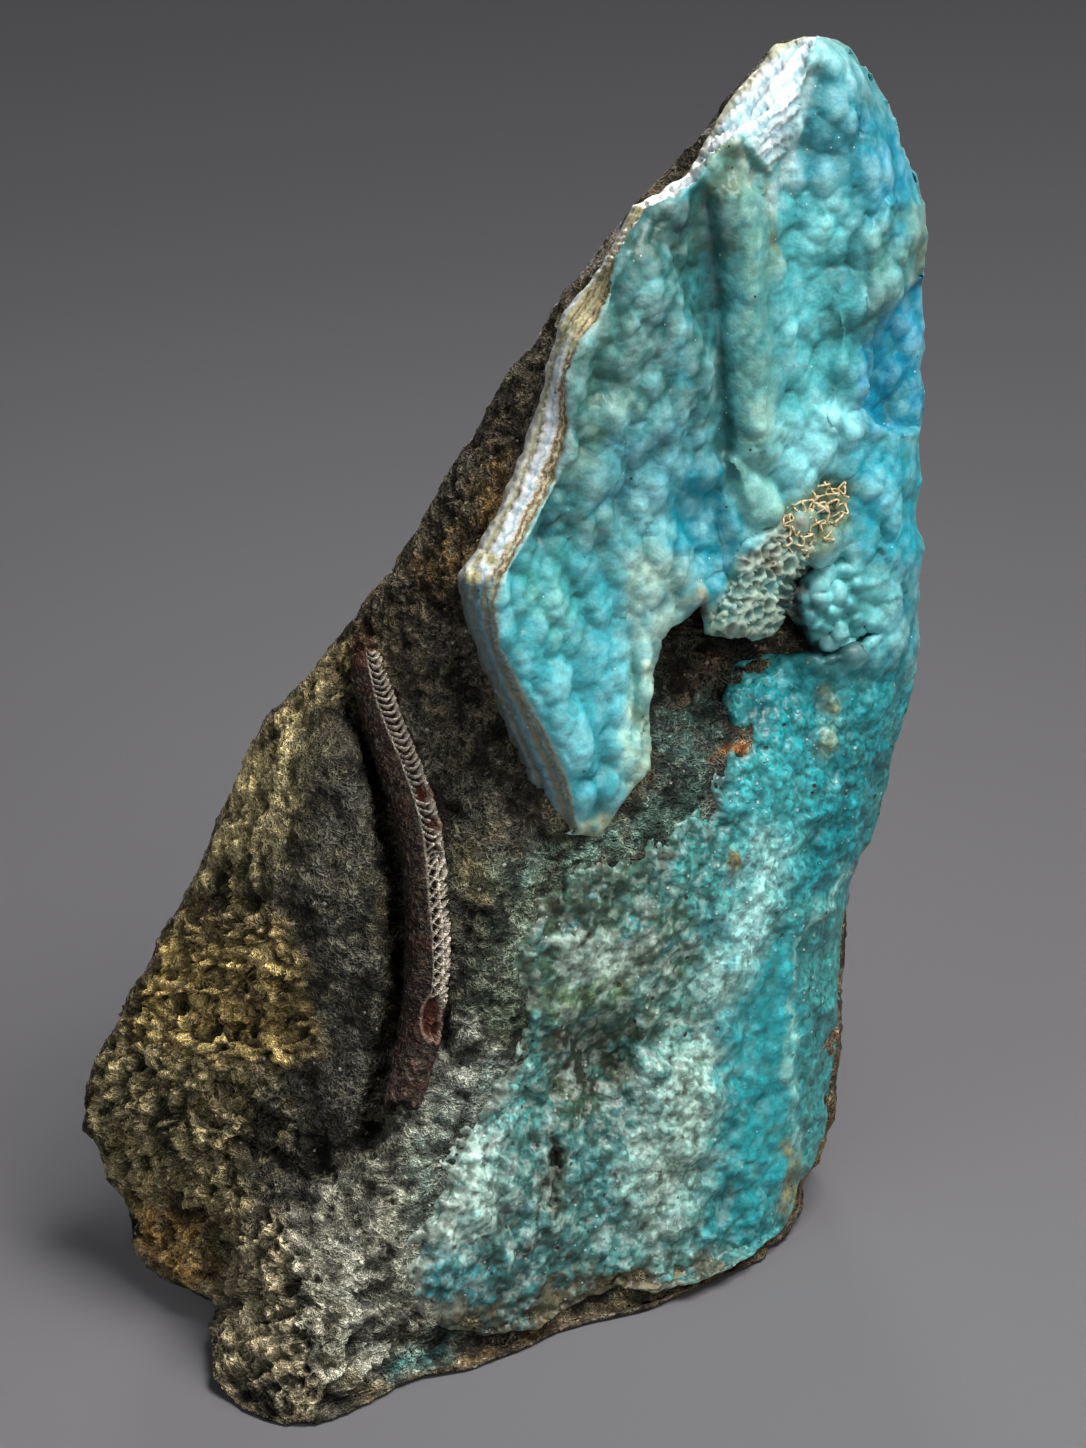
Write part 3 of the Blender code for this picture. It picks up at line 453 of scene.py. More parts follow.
def add_rock_roughness(points, normals):
    """Broken surface: large grain, crags, ledges, pits, crumble and grit."""
    at = points + np.array(ORIGIN)
    coarse = np.maximum.reduce([lobe, foot, 0.7 * ochre])
    rise = np.zeros(points.shape[:-1])
    for often, height in ROCK_GRAIN:
        rise += height * fractal(at, 1.0 / often, 1)
    broad = rise.copy()
    loose = warped(points, 7.0, 30.0)
    crags = 1.0 - 2.0 * np.abs(fractal(loose + 311.0, CRAG_SIZE, 5, 0.65))
    rise += (7.0 + 6.0 * coarse - 4.6 * quiet) * (crags - 0.45)
    rise += (4.2 - 2.2 * quiet) * fractal(points, 15.0, 4, 0.5)
    chunk, chunk_next, chunk_own = cells(loose * np.array([1.0, 1.0, 1.35]), CHUNK_SIZE, 3)
    rise += (2.0 + 7.0 * coarse) * (chunk_own - 0.5) * smooth((chunk_next - chunk) * 4.0)
    bed = ry + 15.0 * fractal(points, 60.0, 4, 0.6) - 0.05 * rx
    ledge = (bed / BED_HEIGHT) % 1.0
    layers = smooth(0.6 + 2.0 * fractal(points + 70.0, 36.0, 2))
    shelf = smooth(ledge * 1.5) - smooth((ledge - 0.74) * 4.0) - 0.5
    rise += ochre * (4.0 + 9.0 * layers) * shelf
    hole, _, hole_own = cells(loose * np.array([1.0, 1.0, 1.6]), HOLE_SIZE, 9)
    depth = (0.22 + 0.78 * coarse) * (hole_own > 0.5) * (1.0 - 0.7 * quiet)
    rise -= 20.0 * depth * smooth(1.15 - hole / 0.38)
    small, _, small_own = cells(points, PIT_SIZE, 21)
    rise -= (2.2 + 4.0 * coarse) * (small_own > 0.5) * smooth(1.1 - small / 0.45)
    rise += (1.6 + 0.8 * coarse) * fractal(points + 40.0, 6.0, 2, 0.4)
    rise *= (1.0 - 0.85 * buried) * (0.35 + 0.65 * smooth(from_outline(rx, ry) / 16.0))
    return points + normals * rise[..., None], rise - broad


rock_points, rock_rise = add_rock_roughness(rock_points, rock_normals)
rock_points[..., 2] = np.maximum(rock_points[..., 2], 0.0)


def grid_faces(rows, columns):
    """Quads of a grid of rings, each closed on itself."""
    i, j = np.meshgrid(np.arange(rows - 1), np.arange(columns), indexing="ij")
    k = (j + 1) % columns
    quads = [i * columns + j, i * columns + k, (i + 1) * columns + k, (i + 1) * columns + j]
    return np.stack(quads, -1).reshape(-1, 4)


def mesh_object(name, points, faces, tints=None):
    """A smooth-shaded object from points in world pixels and a list of arrays of faces."""
    mesh = bpy.data.meshes.new(name)
    faces = [face for block in faces for face in np.asarray(block).tolist()]
    mesh.from_pydata((np.asarray(points, float) * PIXEL).tolist(), [], faces)
    for label, values in (tints or {}).items():
        wide = np.ndim(values) == 2
        layer = mesh.attributes.new(label, "FLOAT_VECTOR" if wide else "FLOAT", "POINT")
        layer.data.foreach_set("vector" if wide else "value", np.ravel(values).astype(np.float32))
    bm = bmesh.new()
    bm.from_mesh(mesh)
    bmesh.ops.recalc_face_normals(bm, faces=bm.faces)
    bm.to_mesh(mesh)
    bm.free()
    mesh.shade_smooth()
    made = bpy.data.objects.new(name, mesh)
    bpy.context.collection.objects.link(made)
    return made


# The rock's colours, laid on one by one: areas as (polygon, softness, share, colour), and strokes
# as (line, width, share, colour)
ROCK_AREAS = [
    ([(804, 38), (640, 180), (520, 350), (400, 550), (330, 650), (420, 700), (520, 600), (600, 400),
      (700, 200)], 30, 0.6, (84, 72, 56)),
    (SMOOTH_FACE, 26, 0.8, (48, 50, 41)),
    ([(400, 700), (470, 660), (560, 830), (560, 960), (470, 1080), (420, 1000)], 24, 0.7,
      (38, 37, 28)),
    # brown-black rock in the recess under the plate's lip, painted darker still as painted shade
    ([(640, 630), (760, 630), (735, 740), (700, 800), (660, 840), (640, 760)], 12, 0.95,
      (26, 30, 22)),
    ([(655, 700), (705, 685), (740, 740), (712, 775), (700, 805), (665, 830), (636, 820),
      (655, 770)], 14, 0.8, (58, 92, 88)),
    ([(550, 850), (640, 805), (700, 785), (705, 835), (620, 870), (550, 890)], 14, 0.85,
      (92, 130, 118)),
    (OCHRE_BLOCK, 18, 0.85, (208, 180, 114)),
    (PITTED_LOBE, 20, 0.85, (178, 162, 116)),
    (FOOT, 18, 0.85, (202, 186, 150)),
    ([(250, 1080), (330, 1060), (400, 1080), (410, 1150), (360, 1200), (290, 1215), (240, 1180)],
      18, 0.85, (42, 42, 38)),
    ([(300, 1215), (380, 1150), (480, 1030), (520, 1040), (500, 1180), (450, 1330), (400, 1400),
      (320, 1420), (302, 1330)], 14, 0.9, (156, 156, 140)),
    ([(400, 1020), (470, 1020), (530, 1080), (480, 1130), (400, 1140)], 14, 0.75, (130, 133, 124)),
    ([(460, 1000), (490, 870), (560, 840), (600, 1010), (530, 1060)], 24, 0.8, (84, 102, 84)),
    ([(400, 1160), (450, 1080), (520, 1040), (520, 1130), (460, 1210), (410, 1290)], 22, 0.6,
      (132, 156, 146)),
    ([(120, 1200), (205, 1215), (215, 1290), (150, 1290)], 16, 0.7, (186, 140, 76)),
]
ROCK_STROKES = [
    ([(330, 655), (285, 703), (262, 740), (240, 800), (215, 860)], 32, 0.85, (208, 187, 132)),
    ([(275, 770), (262, 830), (240, 880)], 28, 0.8, (224, 206, 148)),
    ([(470, 780), (462, 860), (474, 940)], 18, 0.6, (40, 40, 32)),
    ([(505, 475), (490, 520), (455, 560), (430, 580)], 18, 0.8, (146, 112, 58)),
    ([(205, 918), (250, 922), (285, 930)], 9, 0.8, (156, 132, 90)),
    ([(215, 1300), (250, 1310), (300, 1330)], 22, 0.8, (212, 198, 164)),
    ([(230, 1385), (290, 1395), (330, 1400)], 18, 0.6, (66, 62, 54)),
    ([(302, 1215), (297, 1262), (303, 1300), (318, 1345)], 6, 0.9, (192, 190, 172)),
    ([(366, 662), (368, 632)], 9, 0.85, (92, 42, 26)),
    # painted shadow in the groove along the tube's left side
    ([(352, 700), (372, 770), (396, 850), (402, 930), (400, 1020), (384, 1080)], 6, 0.7,
      (28, 26, 22)),
    ([(500, 880), (512, 930), (516, 980)], 14, 0.7, (128, 146, 126)),
    ([(540, 850), (520, 880)], 10, 0.6, (110, 150, 140)),
    ([(470, 1030), (462, 1070), (455, 1100)], 12, 0.6, (150, 154, 146)),
    # painted shade in a fissure
    ([(446, 1040), (456, 1066)], 6, 0.9, (22, 20, 17)),
    ([(488, 860), (500, 900), (508, 940)], 5, 0.7, (30, 27, 20)),
    ([(468, 850), (478, 900)], 9, 0.7, (132, 122, 84)),
    ([(340, 1240), (360, 1300), (372, 1360)], 16, 0.5, (176, 178, 168)),
    ([(360, 1395), (420, 1378), (450, 1366)], 12, 0.5, (120, 104, 72)),
    ([(842, 890), (844, 1050), (832, 1120), (802, 1200), (740, 1280), (640, 1316), (560, 1335),
      (430, 1375)], 14, 0.85, (132, 104, 62)),
    ([(405, 1368), (430, 1356), (446, 1346)], 14, 0.85, (92, 160, 160)),
    # painted shade in the crack along the bottom
    ([(385, 1339), (430, 1343), (500, 1341)], 6, 0.95, (24, 20, 16)),
    ([(680, 700), (696, 680), (722, 655)], 9, 0.6, (92, 56, 26)),
    ([(716, 758), (728, 750), (744, 745)], 5, 1.2, (150, 92, 42)),
]


def linear(*levels):
    """The light of a colour given in 255ths, as a screen shows it."""
    return (np.array(levels, float) / 255.0) ** 2.2


def brush(tint, share, colour):
    """Lays a colour over a tint, by a share from 0 to 1."""
    tint += np.clip(share, 0.0, 1.0)[..., None] * (linear(*colour) - tint)


def stroke(line, width, x, y):
    return np.exp(-((distance_to(line, x, y) / width) ** 2))


def paint(tint, areas, strokes, x, y, points):
    """Areas, then strokes, with edges and cover broken up by noise."""
    x = x + 9.0 * fractal(points, 34.0, 4, 0.6)
    y = y + 9.0 * fractal(points + 500.0, 34.0, 4, 0.6)
    covers = [1.0 + 0.9 * fractal(points + shift, 22.0, 3, 0.5) for shift in COVER_SHIFTS]
    for k, (polygon, soft, share, colour) in enumerate(areas):
        brush(tint, share * area(polygon, soft, x, y) * covers[k % len(covers)], colour)
    for k, (line, width, share, colour) in enumerate(strokes):
        brush(tint, share * stroke(line, width, x, y) * covers[k % len(covers)], colour)


def flat_tint(colour, shape):
    """One colour for every point of an array of the given shape."""
    return np.broadcast_to(linear(*colour), shape + (3,)).copy()


def ground_tint(x, y, points):
    """The colours of the rock's front at any pixel."""
    tint = flat_tint((76, 72, 60), x.shape)
    brush(tint, 0.55 * smooth(0.4 + 1.4 * fractal(points + 60.0, 60.0, 3, 0.7)), (112, 98, 68))
    paint(tint, ROCK_AREAS, ROCK_STROKES, x, y, points)
    return tint


def rock_tints():
    """The front as listed, the back in plain charcoal and ochre, with painted shade in every
    hollow and painted light on every rise.
    """
    back = flat_tint((78, 72, 60), rx.shape)
    stain = fractal(rock_points + 60.0, 110.0, 4, 0.7)
    soot = fractal(rock_points + 260.0, 80.0, 4, 0.7)
    brush(back, 0.8 * smooth(0.2 + 1.6 * stain), (124, 100, 62))
    brush(back, 0.6 * smooth(-0.1 + 1.6 * soot), (52, 50, 45))
    turn = on_front * smooth(from_outline(rx, ry) / 14.0 + 0.3)
    tint = back + (ground_tint(rx, ry, rock_points) - back) * turn[..., None]
    # painted shade in the rock's hollows and painted light on its rises, by how far each point
    # sinks or stands out
    hollow = smooth(0.5 - rock_rise / 17.0)
    tint *= (2.0 - 1.7 * hollow)[..., None]
    return np.concatenate([tint.reshape(-1, 3), flat_tint((90, 78, 56), (2,))])


def closed_rings(name, rings, tints):
    """An object from rings of points, closed at both ends by a fan round their middle."""
    rows, columns = rings.shape[:2]
    ring = np.arange(columns)
    faces = [grid_faces(rows, columns)]
    for end, row in enumerate((0, rows - 1)):
        start, middle = ring + row * columns, np.full(columns, rows * columns + end)
        faces.append(np.stack([start, (ring + 1) % columns + row * columns, middle], -1))
    middles = [rings[0].mean(axis=0), rings[-1].mean(axis=0)]
    return mesh_object(name, np.concatenate([rings.reshape(-1, 3), middles]), faces, tints)


def rock_mesh():
    open_work = np.maximum.reduce([lobe, foot, 0.8 * ochre, np.full(foot.shape, 0.25)])
    tints = {"tint": rock_tints(), "open": np.r_[open_work.ravel(), 0.3, 0.3]}
    return closed_rings("rock", rock_points, tints)


def fill(tree, node, inputs):
    """Sets a node's inputs, each to a socket or a value."""
    for key, value in inputs.items():
        if isinstance(value, bpy.types.NodeSocket):
            tree.links.new(value, node.inputs[key])
        else:
            node.inputs[key].default_value = value
    return node


def add_node(tree, kind, inputs, **settings):
    node = tree.nodes.new("ShaderNode" + kind)
    for key, value in settings.items():
        setattr(node, key, value)
    return fill(tree, node, inputs)


def ramp(tree, value, low, high, start=0.0, end=1.0):
    """The value's way from low to high, as a smooth step from start to end."""
    inputs = {"Value": value, "From Min": low, "From Max": high, "To Min": start, "To Max": end}
    return add_node(tree, "MapRange", inputs, interpolation_type="SMOOTHSTEP").outputs["Result"]


def calc(tree, operation, first, second=0.0):
    return add_node(tree, "Math", {0: first, 1: second}, operation=operation).outputs[0]


def times(tree, first, second):
    return calc(tree, "MULTIPLY", first, second)


def plus(tree, first, second):
    return calc(tree, "ADD", first, second)


def mixed(tree, share, first, second, blend="MIX"):
    inputs = {0: share, 6: first, 7: second}
    return add_node(tree, "Mix", inputs, data_type="RGBA", blend_type=blend).outputs[2]


def shaded(tree, colour, by):
    return mixed(tree, 1.0, colour, by, "MULTIPLY")


def grey(tree, value):
    return add_node(tree, "CombineColor", {0: value, 1: value, 2: value}).outputs[0]


def object_space(tree):
    return add_node(tree, "TexCoord", {}).outputs["Object"]


def soft_noise(tree, at, scale, detail, distortion=0.0):
    inputs = {"Vector": at, "Scale": scale, "Detail": detail, "Distortion": distortion}
    return add_node(tree, "TexNoise", inputs).outputs["Fac"]


def random_dots(tree, at, scale):
    """The cells of a random pattern, and a random number for each."""
    dots = add_node(tree, "TexVoronoi", {"Vector": at, "Scale": scale})
    return dots, add_node(tree, "SeparateColor", {0: dots.outputs["Color"]}).outputs[0]


def attribute(tree, name, part="Fac"):
    return add_node(tree, "Attribute", {}, attribute_name=name).outputs[part]


def bumps(tree, height, distance, strength):
    inputs = {"Height": height, "Distance": distance, "Strength": strength}
    return add_node(tree, "Bump", inputs).outputs["Normal"]


def new_group(name, inputs, outputs):
    group = bpy.data.node_groups.new(name, "ShaderNodeTree")
    for label in inputs:
        group.interface.new_socket(label, in_out="INPUT", socket_type="NodeSocketFloat")
    for label in outputs:
        group.interface.new_socket(label, in_out="OUTPUT", socket_type="NodeSocketFloat")
    return group, group.nodes.new("NodeGroupInput"), group.nodes.new("NodeGroupOutput")


def fibre_group():
    """Short curly fibres: the contour lines of a soft noise, broken up by another."""
    group, given, out = new_group("Curly fibres", ["Scale", "Width"], ["Lines", "Height"])
    at, scale = object_space(group), given.outputs["Scale"]
    made = []
    for factor, shift in ((1.0, 0.0), (1.35, 3.1), (1.8, 5.7)):
        moved = add_node(group, "VectorMath", {0: at, 1: (shift, shift, shift)}, operation="ADD")
        moved = moved.outputs[0]
        wave = soft_noise(group, moved, times(group, scale, factor), 0.0, 0.7)
        away = calc(group, "ABSOLUTE", calc(group, "SUBTRACT", wave, 0.5))
        line = ramp(group, away, 0.0, given.outputs["Width"], 1.0, 0.0)
        gate = soft_noise(group, moved, times(group, scale, 1.3 * factor), 0.0)
        made.append(times(group, line, ramp(group, gate, 0.42, 0.50)))
    lines = calc(group, "MAXIMUM", calc(group, "MAXIMUM", made[0], made[1]), made[2])
    grit = soft_noise(group, at, times(group, scale, 2.0), 3.0)
    fill(group, out, {"Lines": lines, "Height": plus(group, times(group, lines, 0.6), grit)})
    return group


def speck_group():
    """Small round specks in a share of the cells of a random pattern."""
    group, given, out = new_group("Specks", ["Scale", "Size", "Share"], ["Mask"])
    dots, chance = random_dots(group, object_space(group), given.outputs["Scale"])
    size = given.outputs["Size"]
    near = ramp(group, dots.outputs["Distance"], times(group, size, 0.5), size, 1.0, 0.0)
    chosen = calc(group, "LESS_THAN", chance, given.outputs["Share"])
    fill(group, out, {"Mask": times(group, near, chosen)})
    return group


def use_group(tree, group, **inputs):
    return add_node(tree, "Group", inputs, node_tree=group).outputs


def new_material(name):
    material = bpy.data.materials.new(name)
    material.use_nodes = True
    tree = material.node_tree
    return material, tree, tree.nodes["Principled BSDF"]


fibres = fibre_group()
specks = speck_group()


def rock_material():
    """Dark groundmass with pale curly fibres and a few crystal glints."""
    material, tree, shader = new_material("rock")
    at, tint = object_space(tree), attribute(tree, "tint", "Color")
    bold = use_group(tree, fibres, Scale=340.0, Width=0.045)["Lines"]
    bold = times(tree, bold, attribute(tree, "open"))
    coarse = use_group(tree, fibres, Scale=560.0, Width=0.055)
    fine = use_group(tree, fibres, Scale=1050.0, Width=0.08)
    lines = calc(tree, "MAXIMUM", coarse["Lines"], times(tree, fine["Lines"], 0.75))
    lines = calc(tree, "MAXIMUM", lines, bold)
    patchy = soft_noise(tree, at, 330.0, 4.0)
    lines = times(tree, lines, ramp(tree, patchy, 0.38, 0.56, 0.15, 1.0))
    shade = ramp(tree, soft_noise(tree, at, 1500.0, 3.0), 0.3, 0.7, 0.2, 0.9)
    shade = times(tree, shade, ramp(tree, patchy, 0.34, 0.62, 0.35, 1.1))
    dark = shaded(tree, tint, grey(tree, shade))
    pale = shaded(tree, tint, (3.4, 3.4, 3.2, 1.0))
    pale = mixed(tree, 0.34, pale, (0.70, 0.66, 0.52, 1.0))
    glint = use_group(tree, specks, Scale=800.0, Size=0.2, Share=0.16)["Mask"]
    colour = mixed(tree, glint, mixed(tree, lines, dark, pale), (0.80, 0.78, 0.70, 1.0))
    height = plus(tree, coarse["Height"], times(tree, fine["Height"], 0.7))
    fill(tree, shader, {
        "Base Color": colour, "Roughness": 0.68, "Specular IOR Level": 0.3,
        "Normal": bumps(tree, plus(tree, height, bold), 0.0008, 1.0),
    })
    return material


rock = rock_mesh()
rock.data.materials.append(rock_material())
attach(rock, "root")
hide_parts("host_rock")

# The hemimorphite crust
#
# One continuous skin of fine fibrous hemimorphite, 3 to 8 mm thick, grown on the rock: a plate of
# round lumps with a broken, banded left edge and a peninsula over a recess, a knob, and below them
# a thin sheet of sugary crystals.

FRACTURE = [(556, 834), *PLATE_OUTLINE]
FACE_EDGE = [  # where the broken edge meets the crust's face
    (812, 42), (807, 70), (800, 105), (790, 145), (770, 176), (756, 158), (742, 136), (716, 150),
    (694, 182), (676, 197), (646, 208), (624, 240), (616, 258), (613, 280), (609, 302), (598, 322),
    (581, 341), (572, 360), (567, 384), (569, 404), (571, 426), (566, 452), (557, 481), (540, 515),
    (521, 547), (506, 575), (496, 604), (500, 646), (526, 694), (549, 736), (568, 777), (580, 834),
]
FRACTURE_ZONE = FRACTURE + FACE_EDGE
WIDEST_FRACTURE = 44.0
FRACTURE_DROP = 56.0
FREE_EDGE_WIDTH = 14.0
SHEET_RISE = 4.0
SHEET_RIM = 22.0  # how slowly the thin sheet's rim rises out of the rock
CRUST_TURN = 34.0
CRUST_SIDE = 8.0  # the least thickness of the crust where it turns over

# Relief above the face plane: (line, width to its left, width to its right, height)
PLATE_LINES = [
    ([(742, 200), (750, 235), (754, 280), (757, 330), (758, 400), (760, 450)], 24, 14, 22),
    ([(704, 200), (711, 260), (717, 330), (719, 400), (723, 450)], 20, 10, -19),
    ([(788, 150), (796, 230), (802, 320), (808, 400)], 14, 34, -13),
    ([(852, 120), (858, 220), (852, 330)], 26, 20, 10),
    ([(520, 640), (556, 700), (598, 788)], 24, 20, 13),
    ([(628, 640), (634, 725)], 20, 12, -15),
    ([(646, 668), (644, 760)], 7, 7, 8),
    ([(640, 255), (672, 340), (660, 430)], 40, 36, 16),
    ([(600, 500), (640, 520), (690, 520)], 16, 20, -9),
    ([(810, 566), (799, 582), (792, 602), (797, 626), (810, 646)], 6, 6, -26),
]
# Fields raised or sunk behind a sharp edge: (polygon, width of the edge, height)
PLATE_FIELDS = [
    ([(905, 286), (935, 270), (935, 432), (898, 436), (872, 426), (850, 412), (862, 382),
      (868, 335), (882, 308)], 7, -58),
    ([(862, 244), (882, 196), (902, 186), (935, 200), (932, 240), (906, 286), (882, 308),
      (864, 336)], 14, 14),
    ([(838, 300), (862, 340), (858, 384), (842, 412), (862, 434), (850, 446), (824, 420),
      (830, 360)], 12, 8),
    ([(720, 448), (742, 458), (768, 480), (790, 510), (782, 532), (746, 526), (736, 500)], 13, 15),
    ([(668, 480), (722, 470), (742, 540), (742, 590), (700, 596), (672, 560)], 24, -22),
    ([(742, 540), (802, 508), (846, 492), (842, 545), (804, 568), (792, 600), (786, 640),
      (706, 636), (718, 606)], 10, 14),
    ([(786, 582), (812, 558), (846, 548), (858, 576), (858, 612), (884, 634), (862, 652),
      (822, 664), (792, 642)], 12, -30),
]
SHEET_FIELDS = [
    ([(870, 850), (822, 905), (802, 940), (786, 1000), (788, 1080), (797, 1150), (780, 1240),
      (900, 1240), (900, 850)], 10, -6),
    ([(620, 1050), (700, 1040), (740, 1100), (720, 1230), (650, 1262), (600, 1200), (590, 1120)],
      30, 14),
    ([(690, 900), (770, 890), (780, 1010), (730, 1100), (680, 1010)], 40, 8),
    ([(560, 1020), (640, 1010), (650, 1080), (580, 1115)], 22, -16),
    ([(410, 1230), (470, 1140), (520, 1150), (520, 1290), (440, 1310)], 22, 9),
]
# The cauliflower knob, and two nodules below it: (x, y, radius, rise)
KNOB = [
    (814, 586, 15, 18), (826, 574, 13, 16), (842, 569, 14, 20), (858, 563, 13, 18),
    (871, 572, 14, 18), (882, 589, 11, 8), (800, 598, 12, 12), (819, 600, 14, 26),
    (836, 592, 15, 28), (856, 583, 14, 27), (868, 594, 12, 20), (832, 611, 14, 30),
    (850, 602, 13, 28), (808, 614, 11, 14), (797, 616, 9, 4), (819, 623, 12, 20),
    (838, 627, 12, 21), (854, 617, 12, 22), (866, 611, 11, 14), (858, 630, 9, 9),
    (829, 639, 11, 10), (843, 642, 9, 6), (814, 636, 8, 6),
]
NODULES = [(829, 700, 13, 12), (824, 738, 13, 10), (838, 722, 9, 6)]
BALL_BED = 22.0  # how far below the face plane the knob's balls are centred


def field_relief(fields, x, y):
    rise = np.zeros(np.shape(x))
    for polygon, width, height in fields:
        rise = rise + height * smooth(depth_inside(polygon, x, y) / width)
    return rise


def plate_relief(x, y):
    rise = np.zeros(np.shape(x))
    for line, left_width, right_width, height in PLATE_LINES:
        columns, rows = zip(*line)
        share = smooth(0.5 + (x - np.interp(y, rows, columns)) / 12.0)
        width = left_width + (right_width - left_width) * share
        ends = smooth((y - rows[0]) / 36.0 + 1.0) * smooth((rows[-1] - y) / 36.0 + 1.0)
        rise = rise + ends * height * np.exp(-((distance_to(line, x, y) / width) ** 2))
    return rise + field_relief(PLATE_FIELDS, x, y)


def fracture_across(x, y):
    """0 at the stone's outline, 1 where the broken edge meets the face, and on from there.

    The second value is the distance to the outline."""
    outer, inner = distance_to(FRACTURE, x, y), distance_to(FACE_EDGE, x, y)
    between = inside(FRACTURE_ZONE, x, y) | ((outer < 7.0) & (inner > outer) & (y < 838.0))
    return np.where(between, outer / (outer + inner + 1e-6), 1.0 + inner / 40.0), outer


def crust_full(x, y):
    """The crust's face without its lumps, before it turns over at the stone's outline."""
    share = plate_share(x, y)
    across, outer = fracture_across(x, y)
    fracture = np.clip(np.maximum(across, outer / WIDEST_FRACTURE), 0.0, 1.0)
    plate = face_depth(x, y) + plate_relief(x, y) - FRACTURE_DROP * (1.0 - fracture)
    sheet = rock_visible(x, y) + SHEET_RISE + field_relief(SHEET_FIELDS, x, y)
    face = share * plate + (1.0 - share) * sheet
    drift = [np.sin(x / 7.3 + 1.3 * k) * np.cos(y / 6.1 + k) * 2.6 for k in (0.0, 2.0)]
    for px, py, radius, rise in KNOB + NODULES:
        ball = 1.0 - ((x + drift[0] - px) ** 2 + (y + drift[1] - py) ** 2) / radius**2
        at_plate = float(plate_share(np.array(px), np.array(py)))
        level = at_plate * (face_depth(px, py) - BALL_BED)
        level += (1.0 - at_plate) * rock_front_plate(px, py)
        face = np.where(ball > 0, np.maximum(face, level + rise * np.sqrt(np.abs(ball))), face)
    edge = depth_inside(CRUST_OUTLINE, x, y)
    plate_turn = 12.0 * (1.0 - round_over(edge / FREE_EDGE_WIDTH))
    sunk = smooth((812.0 - x) / 24.0)
    sheet_turn = sunk * 8.0 * (1.0 - smooth(edge / SHEET_RIM))
    sheet_turn += (1.0 - sunk) * 4.0 * (1.0 - round_over(edge / 8.0))
    return face - share * plate_turn - (1.0 - share) * sheet_turn


def crust_front(x, y):
    full = crust_full(x, y)
    side = np.clip(side_depth(x, y), crust_bed(x, y) + CRUST_SIDE, full)
    reach = round_over(from_outline(x, y) / CRUST_TURN)
    return np.maximum(side + reach * (full - side), floor_depth(y) + FLOOR_CLEARANCE + CRUST_SIDE)


def ragged(line, step, height, seed):
    """A closed line with more points, moved about by noise."""
    made = []
    for a, b in zip(line, closed(line)[1:]):
        a, b = np.array(a, float), np.array(b, float)
        count = max(1, round(np.hypot(*(b - a)) / step))
        made += [a + (b - a) * k / count for k in range(count)]
    made = np.array(made)
    at = np.c_[made, np.full(len(made), seed)]
    moves = [
        fractal(at + shift, 17.0, 1) + 0.5 * fractal(at + shift + 9.0, 6.0, 1)
        for shift in (0.0, 77.0)
    ]
    return [tuple(point) for point in made + height * np.stack(moves, -1)]


CRUST_ROWS = (34.0, 1344.0, 2.3)  # first, last and step
CRUST_COLUMNS = [(204, 2.35), (12, 1.8), (34, 1.25)]  # counts and steps, from left to right
CRUST_RIGHT = [
    (36, 862), (100, 892), (180, 930), (600, 932), (860, 872), (950, 856), (1080, 844), (1200, 818),
    (1340, 806),
]
RIM_LEVELS = (0.18, 0.4, 0.66)  # between the crust's front at 0 and its back at 1
CRUST_BACK_FACES = 14000

rim_line = ragged(CRUST_OUTLINE, 5.0, 3.2, 4.0)


def crust_grid():
    """Rows and columns over the crust, closer together down its right side."""
    y = np.arange(*CRUST_ROWS)[:, None]
    steps = np.concatenate([np.full(*run) for run in CRUST_COLUMNS[::-1]])
    x = keyed(CRUST_RIGHT, y) - np.r_[0.0, np.cumsum(steps)][None, ::-1]
    return x, np.broadcast_to(y, x.shape).copy()


def whole_cells(within):
    """Cells with all four corners within, and no two of them touching at a corner alone."""
    found = np.pad(within[:-1, :-1] & within[1:, :-1] & within[:-1, 1:] & within[1:, 1:], 1)
    while True:
        a, b, c, d = found[:-1, :-1], found[:-1, 1:], found[1:, :-1], found[1:, 1:]
        falling, rising = a & d & ~b & ~c, b & c & ~a & ~d
        if not (falling | rising).any():
            return found[1:-1, 1:-1]
        found[:-1, 1:] |= falling
        found[:-1, :-1] |= rising


def nearest_on(line, x, y):
    """The nearest point of a closed line to each point."""
    best, bx, by = np.full(x.shape, 1e9), x.copy(), y.copy()
    for (px, py), (qx, qy) in zip(line, closed(line)[1:]):
        dx, dy = qx - px, qy - py
        along = np.clip(((x - px) * dx + (y - py) * dy) / (dx * dx + dy * dy + 1e-9), 0.0, 1.0)
        cx, cy = px + along * dx, py + along * dy
        gap = (x - cx) ** 2 + (y - cy) ** 2
        nearer = gap < best
        bx, by = np.where(nearer, cx, bx), np.where(nearer, cy, by)
        best = np.minimum(gap, best)
    return bx, by


def corner_counts(chosen):
    """How many chosen cells meet at each corner of the grid."""
    counts = np.zeros((chosen.shape[0] + 1, chosen.shape[1] + 1), int)
    for i in (0, 1):
        for j in (0, 1):
            counts[i : i + chosen.shape[0], j : j + chosen.shape[1]] += chosen
    return counts


cx, cy = crust_grid()
crust_cells = whole_cells(inside(rim_line, cx, cy))
corners = corner_counts(crust_cells)
on_rim = (corners > 0) & (corners < 4)
cx[on_rim], cy[on_rim] = nearest_on(rim_line, cx[on_rim], cy[on_rim])
used = corners > 0
ux, uy = cx[used], cy[used]
crust_number = np.full(cx.shape, -1)
crust_number[used] = np.arange(used.sum())


def grid_normals(x, y, surface):
    """Normals of a surface given as a depth over pixels, in world coordinates."""
    reach = 1.5
    across = place(x + reach, y, surface(x + reach, y)) - place(x - reach, y, surface(x - reach, y))
    down = place(x, y + reach, surface(x, y + reach)) - place(x, y - reach, surface(x, y - reach))
    normal = np.cross(down, across)
    return normal / (np.linalg.norm(normal, axis=-1, keepdims=True) + 1e-9)


crust_points = place(ux, uy, crust_front(ux, uy))
crust_normals = grid_normals(ux, uy, crust_front)

